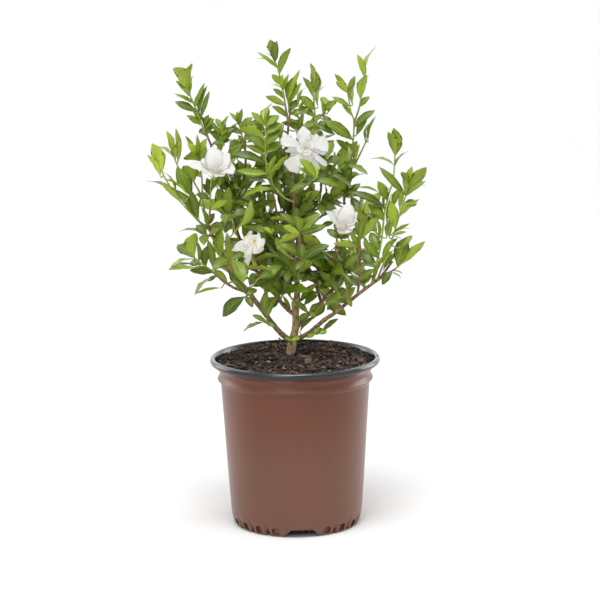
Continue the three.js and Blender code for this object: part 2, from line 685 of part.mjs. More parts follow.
// A blade's section, from its left edge round its upper side: places across, as a share of half
// its width, and shares of half its thickness. A leaf has a keel under its middle.
const LEAF_SECTION = [[-1, 0], [1, 0], [0, -2]];
const NARROW_PETAL_SECTION = [[-1, 0], [0, 1], [1, 0], [0, -1]];
const WIDE_PETAL_SECTION = [[-1, 0], [-0.5, 1], [0.5, 1], [1, 0], [0.5, -1], [-0.5, -1]];

// A blade is a sphere of few sides drawn out from root to tip: its poles are root and tip, the
// middle is arched, and the edges are lifted to the upper side.
function blade({ root, tip, upper, width, thickness, arch, fold, outline, section, rows }) {
  const along = tip.clone().sub(root);
  const length = along.length();
  along.normalize();
  const up = upper.clone().addScaledVector(along, -upper.dot(along)).normalize();
  const side = up.clone().cross(along);
  const sides = section.length;
  const geometry = new THREE.SphereGeometry(1, sides, rows);
  const position = geometry.attributes.position;
  for (let row = 0; row <= rows; row += 1) {
    const t = row / rows;
    const pole = row === 0 || row === rows;
    const half = pole ? 0 : (outline(t) * width) / 2;
    const thick = pole ? 0 : thickness / 2;
    for (let column = 0; column <= sides; column += 1) {
      const [across, above] = section[column % sides];
      const lift = arch * length * 4 * t * (1 - t) + fold * half * across * across;
      const spot = root.clone()
        .addScaledVector(along, length * t)
        .addScaledVector(side, half * across)
        .addScaledVector(up, lift + above * thick);
      position.setXYZ(row * (sides + 1) + column, spot.x, spot.y, spot.z);
    }
  }
  return solidOf(geometry);
}

// The nearest place on the shoot's stems to a place seen across and up.
function rootOnStem(stems, across, up) {
  let best = null;
  let bestDistance = Infinity;
  stems.forEach((stem) => {
    for (let i = 0; i + 1 < stem.length; i += 1) {
      const [a, b] = [stem[i], stem[i + 1]];
      const run = [b[0] - a[0], b[1] - a[1], b[2] - a[2]];
      const share = ((across - a[0]) * run[0] + (up - a[1]) * run[1]) / (run[0] ** 2 + run[1] ** 2);
      const t = Math.min(Math.max(share, 0), 1);
      const place = [a[0] + run[0] * t, a[1] + run[1] * t, a[2] + run[2] * t];
      const distance = Math.hypot(place[0] - across, place[1] - up);
      if (distance < bestDistance) {
        bestDistance = distance;
        best = place;
      }
    }
  });
  return best;
}

// The upper side of a leaf: turned from the eye by its kind's angle, and to the light.
function upperSide(root, tip, turn) {
  const along = tip.clone().sub(root).normalize();
  const toEye = EYE.clone().sub(root);
  toEye.addScaledVector(along, -toEye.dot(along)).normalize();
  const angle = THREE.MathUtils.degToRad(turn);
  const one = toEye.clone().applyAxisAngle(along, angle);
  const other = toEye.clone().applyAxisAngle(along, -angle);
  return one.z > other.z ? one : other;
}

function measuredLeaf(stems, [kind, fromAcross, fromUp, across, up, width]) {
  const { turn, arch, fold } = KINDS[kind];
  const from = rootOnStem(stems, fromAcross, fromUp);
  const shown = Math.hypot(across - from[0], up - from[1]);
  const edgeOn = kind === "T";
  const full = edgeOn ? shown * 1.1 : width * LEAF_LENGTH_PER_WIDTH;
  const depth = Math.min(Math.sqrt(Math.max(full ** 2 - shown ** 2, 0)), LONGEST_REACH);
  const showsUpper = kind !== "P";
  const goesBack = showsUpper === up > from[1];
  return {
    from,
    to: [across, up, from[2] + (goesBack ? depth : -depth)],
    width: edgeOn ? shown * EDGE_ON_WIDTH_SHARE : width / Math.abs(Math.cos(THREE.MathUtils.degToRad(turn))),
    turn,
    arch,
    fold,
  };
}

// Crossed pairs: lean from the stem and its fall pair by pair, a turn to and fro, in degrees, and
// the least size and the spread of sizes as shares of the given length.
const PAIR_LEAN = 58;
const PAIR_LEAN_FALL = 8;
const PAIR_JITTER = 16;
const PAIRED_LEAF_WIDTH_SHARE = 0.36;
const PAIRED_ARCH = 0.1;
const PAIRED_FOLD = 0.22;
const LEAST_SIZE = 0.82;
const SIZE_SPREAD = 0.3;

// A leaf of a crossed pair: it leans out from the stem, and its upper side faces the stem's end.
function pairedLeaf(stem, pairs, length, firstTurn, index) {
  const pair = Math.floor(index / 2);
  const share = (pair + 1) / pairs;
  const last = stem.length - 1;
  const spot = Math.min(Math.floor(share * last), last - 1);
  const t = share * last - spot;
  const from = stem[spot].map((value, axis) => value + (stem[spot + 1][axis] - value) * t);
  const along = seen(stem[last]).sub(seen(stem[0])).normalize();
  const across = new THREE.Vector3(0, 0, 1).addScaledVector(along, -along.z).normalize();
  const jitter = (draw(firstTurn * 31 + index * 7) - 0.5) * PAIR_JITTER;
  const turn = firstTurn + pair * 90 + (index % 2) * 180 + jitter;
  across.applyAxisAngle(along, THREE.MathUtils.degToRad(turn));
  const lean = THREE.MathUtils.degToRad(PAIR_LEAN - PAIR_LEAN_FALL * pair + jitter);
  const way = along.clone().multiplyScalar(Math.cos(lean)).addScaledVector(across, Math.sin(lean));
  const size = length * (LEAST_SIZE + SIZE_SPREAD * draw(firstTurn * 17 + index * 3));
  return { from, way, along, size };
}

const shootNodes = [];
const obstacles = [];

function boxesMeet(a, b) {
  return a.min.every((low, i) => low - CLEARANCE < b.max[i] && b.min[i] - CLEARANCE < a.max[i]);
}

// A leaf may sink into its own shoot near its root, and keeps clear of everything else.
function isClear(solid, shoot) {
  const box = solid.boundingBox();
  return obstacles.every((other) => {
    if (!boxesMeet(box, other.box) || (other.shoot === shoot && other.isStem)) return true;
    if (other.shoot === shoot || other.isWood) {
      return solid.intersect(other.solid).volume() < FUSED_VOLUME;
    }
    return solid.minGap(other.solid, 2 * CLEARANCE) >= CLEARANCE;
  });
}

function addObstacle(solid, shoot, kind = {}) {
  obstacles.push({ solid, box: solid.boundingBox(), shoot, ...kind });
}

function leafSolid(root, tip, upper, width, arch, fold) {
  const along = tip.clone().sub(root).normalize();
  return blade({
    root: root.clone().addScaledVector(along, -ROOT_DEPTH),
    tip,
    upper,
    width,
    thickness: LEAF_THICKNESS,
    arch,
    fold,
    outline: leafWidth,
    section: LEAF_SECTION,
    rows: root.distanceTo(tip) > LONG_LEAF ? 4 : 3,
  });
}

// The first swing and size of a leaf that is clear of its neighbours, or nothing.
function growLeaf(shoot, root, tipAt, upperAt, width, arch, fold) {
  for (const scale of LEAF_SCALES) {
    for (const swing of LEAF_SWINGS) {
      const tip = root.clone().lerp(tipAt(swing), scale);
      const solid = leafSolid(root, tip, upperAt(tip), width * scale, arch, fold);
      if (isClear(solid, shoot)) {
        addObstacle(solid, shoot);
        return solid;
      }
    }
  }
  return null;
}

function turned(points) {
  return points.map(seen);
}

// A green stem, with the bud that ends it.
function stemSolid(stem, sides) {
  const path = turned(stem);
  const [before, last] = path.slice(-2);
  const bud = last.clone().addScaledVector(last.clone().sub(before).normalize(), BUD_LENGTH);
  return bar([...path, bud], SHOOT_RADIUS, sides);
}

function makeWood(grow) {
  return fuse(Object.values(LIMBS).map(({ path, radius, sides }) => (
    bar(turned(path), radius, sides, grow)
  )));
}

function makePot() {
  const profile = [
    [0, 0],
    [FOOT_RADIUS, 0],
    [FOOT_RADIUS + FOOT_ROUND, FOOT_ROUND_HEIGHT],
    [WALL_FOOT_RADIUS - FOOT_BULGE, FOOT_BULGE_HEIGHT],
    [WALL_FOOT_RADIUS, WALL_FOOT_HEIGHT],
    [WALL_TOP_RADIUS, COLLAR_FOOT - COLLAR_STEP],
    [COLLAR_RADIUS - COLLAR_TAPER, COLLAR_FOOT],
    [COLLAR_RADIUS, POT_HEIGHT - LIP_HEIGHT - LIP_EDGE],
    [LIP_RADIUS - LIP_EDGE, POT_HEIGHT - LIP_HEIGHT],
    [LIP_RADIUS, POT_HEIGHT - LIP_SIDE_HEIGHT],
    [LIP_RADIUS - LIP_ROUND, POT_HEIGHT],
    [MOUTH_RADIUS + LIP_EDGE, POT_HEIGHT],
    [MOUTH_RADIUS, POT_HEIGHT - LIP_ROUND],
    [COLLAR_RADIUS - WALL, POT_HEIGHT - LIP_THROAT],
    [COLLAR_RADIUS - COLLAR_TAPER - WALL, COLLAR_FOOT],
    [WALL_TOP_RADIUS - WALL, COLLAR_FOOT - COLLAR_STEP],
    [WALL_FOOT_RADIUS - WALL, WALL_FOOT_HEIGHT],
    [WALL_FOOT_RADIUS - FOOT_BULGE - WALL, FOOT_BULGE_HEIGHT],
    [FOOT_RADIUS, FLOOR],
    [0, FLOOR],
  ].map(([r, z]) => new THREE.Vector2(r, z));
  const shell = solidOf(new THREE.LatheGeometry(profile, POT_SIDES).rotateX(Math.PI / 2));
  const middleOfWall = profile.slice(1, 5).map(({ x, y }) => new THREE.Vector2(x - WALL / 2, y));
  middleOfWall.unshift(new THREE.Vector2(0, 0));
  middleOfWall.push(new THREE.Vector2(0, WALL_FOOT_HEIGHT));
  const foot = solidOf(new THREE.LatheGeometry(middleOfWall, POT_SIDES).rotateX(Math.PI / 2));
  const bridges = fuse([
    archChannel(0, WALL, BRIDGE_FOOT, CUT_PAST),
    archChannel(180, WALL, BRIDGE_FOOT, CUT_PAST),
  ]);
  const channels = [archChannel(0, 0, -CUT_PAST, CUT_PAST), archChannel(180, 0, -CUT_PAST, CUT_PAST)];
  return shell.add(bridges.intersect(foot)).subtract(fuse([...channels, ...drains()]));
}

// A channel under the pot's edge: a trapezium drawn out along the radius, with its top and sides
// grown outward, from a height above the ground to a place past the pot's foot.
function archChannel(side, grow, foot, past) {
  const halfTop = ARCH_TOP_WIDTH / 2 + grow;
  const slope = (ARCH_FOOT_WIDTH - ARCH_TOP_WIDTH) / 2 / ARCH_HEIGHT;
  const halfFoot = halfTop + slope * (ARCH_HEIGHT - foot);
  const shape = new THREE.Shape([
    new THREE.Vector2(-halfFoot, foot),
    new THREE.Vector2(halfFoot, foot),
    new THREE.Vector2(halfTop, ARCH_HEIGHT + grow),
    new THREE.Vector2(-halfTop, ARCH_HEIGHT + grow),
  ]);
  const depth = ARCH_DEPTH + grow + past;
  const geometry = new THREE.ExtrudeGeometry(shape, { depth, bevelEnabled: false });
  geometry.rotateX(Math.PI / 2);
  geometry.translate(0, ARCH_DEPTH + grow - FOOT_RADIUS, 0);
  geometry.rotateZ(THREE.MathUtils.degToRad(FOOT_TURN + side));
  return solidOf(geometry);
}

function drains() {
  const solids = [];
  for (let i = 0; i < DRAIN_COUNT; i += 1) {
    const side = i % 2 === 0 ? 1 : -1;
    const angle = FOOT_TURN + side * (DRAIN_FIRST + DRAIN_STEP * Math.floor(i / 2));
    const geometry = new THREE.BoxGeometry(DRAIN_WIDTH, DRAIN_DEPTH, DRAIN_HIGH - DRAIN_LOW);
    geometry.translate(0, -WALL_FOOT_RADIUS, (DRAIN_LOW + DRAIN_HIGH) / 2);
    geometry.rotateZ(THREE.MathUtils.degToRad(angle));
    solids.push(solidOf(geometry));
  }
  return solids;
}

function soilLump(x, y) {
  return SOIL_LUMP * (Math.sin(x * 0.21 + 1.3) * Math.sin(y * 0.17 + 0.4)
    + 0.5 * Math.sin(x * 0.47 + y * 0.31) + 0.4 * Math.sin(y * 0.53 - x * 0.11));
}

function makeSoil(woodRoom) {
  const throat = COLLAR_RADIUS - WALL - SOIL_GAP;
  const flare = (MOUTH_RADIUS - COLLAR_RADIUS + WALL) / (LIP_THROAT - LIP_ROUND);
  const edge = throat + flare * (SOIL_EDGE - POT_HEIGHT + LIP_THROAT);
  const profile = [
    [0, FLOOR + GAP],
    [FOOT_RADIUS - SOIL_GAP, FLOOR + GAP],
    [WALL_FOOT_RADIUS - FOOT_BULGE - WALL - SOIL_GAP, FOOT_BULGE_HEIGHT],
    [WALL_FOOT_RADIUS - WALL - SOIL_GAP, WALL_FOOT_HEIGHT],
    [WALL_TOP_RADIUS - WALL - SOIL_GAP, COLLAR_FOOT - COLLAR_STEP],
    [throat - COLLAR_TAPER, COLLAR_FOOT + COLLAR_STEP],
    [throat, POT_HEIGHT - LIP_THROAT],
    ...SOIL_RINGS.map((share) => [edge * share, SOIL_EDGE + SOIL_CROWN * Math.sqrt(1 - share ** 2)]),
    [0, SOIL_EDGE + SOIL_CROWN],
  ].map(([r, z]) => new THREE.Vector2(r, z));
  const geometry = new THREE.LatheGeometry(profile, SOIL_SIDES).rotateX(Math.PI / 2);
  const position = geometry.attributes.position;
  for (let i = 0; i < position.count; i += 1) {
    const [x, y, z] = [position.getX(i), position.getY(i), position.getZ(i)];
    const share = Math.hypot(x, y) / edge;
    if (z > SOIL_EDGE) position.setZ(i, z + soilLump(x, y) * (1 - share ** 6));
  }
  const bridges = fuse([
    archChannel(0, WALL + GAP, BRIDGE_FOOT, CUT_PAST),
    archChannel(180, WALL + GAP, BRIDGE_FOOT, CUT_PAST),
  ]);
  return largestBody(solidOf(geometry).subtract(bridges).subtract(woodRoom));
}

// A bloom: petals round a short tube, the stamens on it, and the calyx under it.
function makeBloom({ heart, faces, petals, rings }) {
  const centre = seen(heart);
  const axis = new THREE.Vector3(...faces).normalize();
  const at = (distance) => centre.clone().addScaledVector(axis, distance);
  const blades = [bar([at(TUBE_FOOT), at(0), at(TUBE_MOUTH)], TUBE_RADIUS, 7)];
  petals.forEach(([across, up, behind, width]) => {
    const tip = seen([across, up, heart[2] + behind]);
    const out = tip.clone().sub(centre);
    out.addScaledVector(axis, -out.dot(axis)).normalize();
    const wide = width >= WIDE_PETAL;
    blades.push(blade({
      root: at(0).addScaledVector(out, PETAL_ROOT_RADIUS),
      tip,
      upper: axis,
      width,
      thickness: PETAL_THICKNESS,
      arch: PETAL_ARCH,
      fold: PETAL_FOLD,
      outline: petalWidth,
      section: wide ? WIDE_PETAL_SECTION : NARROW_PETAL_SECTION,
      rows: wide ? 4 : 3,
    }));
  });
  const start = new THREE.Vector3(1, 0, 0);
  start.addScaledVector(axis, -start.dot(axis)).normalize();
  rings.forEach(([count, length, lean, width, first]) => {
    const angle = THREE.MathUtils.degToRad(lean);
    for (let i = 0; i < count; i += 1) {
      const turn = THREE.MathUtils.degToRad(first + (360 * i) / count);
      const out = start.clone().applyAxisAngle(axis, turn);
      const way = axis.clone().multiplyScalar(Math.cos(angle)).addScaledVector(out, Math.sin(angle));
      blades.push(blade({
        root: at(INNER_PETAL_START).addScaledVector(out, PETAL_ROOT_RADIUS),
        tip: at(0).addScaledVector(way, length),
        upper: axis,
        width,
        thickness: PETAL_THICKNESS,
        arch: INNER_PETAL_ARCH,
        fold: INNER_PETAL_FOLD,
        outline: petalWidth,
        section: NARROW_PETAL_SECTION,
        rows: 3,
      }));
    }
  });
  const middle = (STAMEN_FOOT + STAMEN_TIP) / 2;
  const stamens = [at(STAMEN_FOOT), at(middle), at(STAMEN_TIP)];
  return {
    petals: largestBody(fuse(blades).subtract(bar(stamens, STAMEN_RADIUS, 7, STAMEN_ROOM))),
    stamens: bar(stamens, STAMEN_RADIUS, 7),
    calyx: [at(CALYX_FOOT), at(CALYX_TOP)],
  };
}

const wood = largestBody(makeWood(0));
const woodRoom = makeWood(GAP);
addObstacle(wood, "wood", { isWood: true });

const blooms = {};
Object.entries(BLOOMS).forEach(([name, plan]) => {
  blooms[name] = makeBloom(plan);
  addObstacle(blooms[name].petals, name);
  addObstacle(blooms[name].stamens, name);
});

// Stems first, so that every leaf then keeps clear of all of them.
const plans = SHOOTS.map((plan) => ({ ...plan }));
REAR_SHOOTS.forEach(([name, ...spray]) => {
  plans.push({ name, stems: [], leaves: [], sprays: [spray] });
});
plans.forEach((plan) => {
  plan.sprays ??= [];
  plan.solids = [
    ...plan.stems.map((stem) => stemSolid(stem, 5)),
    ...plan.sprays.map(([stem]) => stemSolid(stem, 4)),
  ];
  if (plan.bloom) {
    const { calyx } = blooms[plan.bloom];
    const last = seen(plan.stems[0].at(-1));
    const join = calyx[0].clone().lerp(calyx[1], 0.2);
    plan.solids.push(bar([last, join], BLOOM_STALK_RADIUS, 6), bar(calyx, CALYX_RADIUS, 6));
  }
  plan.solids.forEach((solid) => addObstacle(solid, plan.name, { isStem: true }));
});

plans.forEach((plan) => {
  plan.leaves.forEach((row) => {
    const leaf = measuredLeaf(plan.stems, row);
    const root = seen(leaf.from);
    const tipAt = (swing) => seen([leaf.to[0], leaf.to[1], leaf.to[2] + swing]);
    const upperAt = (tip) => upperSide(root, tip, leaf.turn);
    const solid = growLeaf(plan.name, root, tipAt, upperAt, leaf.width, leaf.arch, leaf.fold);
    if (solid) plan.solids.push(solid);
  });
  plan.sprays.forEach(([stem, pairs, length, firstTurn]) => {
    for (let i = 0; i < 2 * pairs; i += 1) {
      const { from, way, along, size } = pairedLeaf(stem, pairs, length, firstTurn, i);
      const root = seen(from);
      const tip = root.clone().addScaledVector(way, size);
      const tipAt = (swing) => tip.clone().addScaledVector(along, swing);
      const width = size * PAIRED_LEAF_WIDTH_SHARE;
      const solid = growLeaf(plan.name, root, tipAt, () => along, width, PAIRED_ARCH, PAIRED_FOLD);
      if (solid) plan.solids.push(solid);
    }
  });
  shootNodes.push([plan.name, largestBody(fuse(plan.solids).subtract(woodRoom))]);
});

const finish = {
  pot: new THREE.MeshStandardMaterial({ color: 0x6e4a3d, roughness: 0.42, metalness: 0 }),
  soil: new THREE.MeshStandardMaterial({ color: 0x2a201a, roughness: 0.95, metalness: 0 }),
  bark: new THREE.MeshStandardMaterial({ color: 0x85745c, roughness: 0.85, metalness: 0 }),
  foliage: new THREE.MeshStandardMaterial({ color: 0x4c6a22, roughness: 0.4, metalness: 0 }),
  petal: new THREE.MeshStandardMaterial({ color: 0xf2f0ea, roughness: 0.6, metalness: 0 }),
  stamen: new THREE.MeshStandardMaterial({ color: 0xd8a02c, roughness: 0.7, metalness: 0 }),
};

const plant = new THREE.Group();

function addPiece(name, solid, material) {
  const mesh = new THREE.Mesh(geometryOf(solid), material);
  mesh.name = name;
  plant.add(mesh);
}

addPiece("pot", largestBody(makePot()), finish.pot);
addPiece("potting_mix", makeSoil(woodRoom), finish.soil);
addPiece("woody_frame", wood, finish.bark);
shootNodes.forEach(([name, solid]) => addPiece(name, solid, finish.foliage));
Object.entries(blooms).forEach(([name, { petals, stamens }]) => {
  addPiece(`${name}_petals`, petals, finish.petal);
  addPiece(`${name}_stamens`, stamens, finish.stamen);
});

export default plant;
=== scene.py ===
"""Potted gardenia: the looks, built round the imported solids.

The tables are in millimetres, as in the solids' source. The scene is in metres.
"""

import math
import re

import bmesh
import bpy
from mathutils import Matrix, Vector, noise
from mathutils.kdtree import KDTree


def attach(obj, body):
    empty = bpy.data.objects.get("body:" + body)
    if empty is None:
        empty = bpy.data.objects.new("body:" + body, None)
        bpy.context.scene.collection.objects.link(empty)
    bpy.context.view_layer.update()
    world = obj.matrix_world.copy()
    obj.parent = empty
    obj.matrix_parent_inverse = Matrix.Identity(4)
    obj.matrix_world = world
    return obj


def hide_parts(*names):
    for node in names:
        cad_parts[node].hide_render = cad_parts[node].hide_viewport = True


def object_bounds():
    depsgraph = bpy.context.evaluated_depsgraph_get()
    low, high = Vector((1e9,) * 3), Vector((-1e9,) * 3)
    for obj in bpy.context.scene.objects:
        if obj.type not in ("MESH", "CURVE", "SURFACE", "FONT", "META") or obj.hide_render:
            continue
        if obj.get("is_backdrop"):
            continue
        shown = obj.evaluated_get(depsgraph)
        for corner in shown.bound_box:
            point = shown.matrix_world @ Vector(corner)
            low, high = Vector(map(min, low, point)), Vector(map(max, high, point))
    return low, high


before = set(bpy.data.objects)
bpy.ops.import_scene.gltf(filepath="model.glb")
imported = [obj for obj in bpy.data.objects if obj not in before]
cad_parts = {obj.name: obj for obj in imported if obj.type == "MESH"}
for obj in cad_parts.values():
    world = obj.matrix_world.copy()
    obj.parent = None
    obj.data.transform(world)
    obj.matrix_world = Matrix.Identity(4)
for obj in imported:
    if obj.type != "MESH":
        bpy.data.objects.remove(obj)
box_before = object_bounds()

MM = 0.001

# The bush is measured as it shows from one eye point, on the upright plane through the pot's axis.
EYE = Vector((7.65, -3533.5, 995.4))


# Tables. In a table a record starts at the left with its name. A field is a word, a colon and
# rows with commas between them.


def number(word):
    """The number that a word writes, or else the word itself."""
    try:
        return float(word) if "." in word else int(word)
    except ValueError:
        return word


def read_rows(text):
    return [[number(word) for word in row.split()] for row in text.split(",")]


def read_table(text):
    """The fields of each record: any number of stems and sprays, and one of each other kind."""
    table = {}
    for record in re.split(r"\n(?=\w)", text.strip()):
        name, *parts = re.split(r"\s+(\w+):", record)
        fields = table[name] = {"stem": [], "spray": [], "leaves": []}
        for field, rows in zip(parts[::2], map(read_rows, parts[1::2])):
            if field in ("stem", "spray"):
                fields[field].append(rows)
            else:
                fields[field] = rows
    return table


# Woody frame: the radius at each end, and points across, up and back.
LIMBS = read_table("""
trunk radius: 6.8 2.3
    path: -7 190 5, -7 226 5, -3 250 5, 1 268 5, 2 290 6, 4 318 8, 3 340 10, -5 368 14, -15 388 16
left_limb radius: 3.8 2.1
    path: -3 249 5, -20 263 0, -40 289 -8, -60 317 -18, -78 340 -26, -95 370 -30, -108 395 -32,
        -117 417 -34
left_low_twig radius: 1.9 1.6
    path: -60 317 -18, -80 324 -26, -97 335 -36
left_rear_limb radius: 3.2 1.9
    path: 2 285 6, -10 295 14, -20 307 22, -40 335 34, -60 360 44, -75 400 50, -80 420 50
low_bloom_twig radius: 1.8 1.5
    path: -40 335 34, -46 350 26, -51 364 16
upper_left_twig radius: 1.8 1.5
    path: -80 420 50, -92 450 48, -102 480 44, -108 517 38
rear_left_twig radius: 1.7 1.4
    path: -80 420 50, -72 450 52, -64 480 50, -62 505 48
right_rear_limb radius: 3.4 1.6
    path: 1 266 5, 13 281 18, 38 305 36, 55 325 48, 78 360 60, 86 378 62, 74 410 60, 68 440 56
centre_rear_twig radius: 2.3 1.4
    path: 36 304 35, 25 340 44, 12 365 46, 8 392 44, 22 420 46, 35 448 46, 38 470 46, 36 510 44
right_bloom_twig radius: 1.9 1.5
    path: 55 325 48, 54 345 26, 55 362 4, 58 385 -18
big_bloom_twig radius: 2 1.6
    path: -5 368 14, -2 400 2, 1 425 -8, 1 455 -14, 0 480 -14
top_twig radius: 1.9 1.4
    path: -15 388 16, -13 420 26, -12 440 30, -10 480 34, -5 545 36
centre_twig radius: 1.8 1.5
    path: -15 388 16, -20 408 13, -22 425 12
front_twig radius: 1.9 1.5
    path: 3 338 10, 4 356 -16, 7 378 -44, 8 392 -62
right_limb radius: 3.4 2.1
    path: 1 252 5, 20 262 -2, 40 279 -8, 55 289 -12, 85 313 -20, 116 336 -28
right_front_twig radius: 1.8 1.5
    path: 85 313 -20, 88 340 -42, 89 366 -60
right_pruned_stub radius: 1.7 1.6
    path: 115 335 -27, 124 347 -25, 132 358 -23
""")

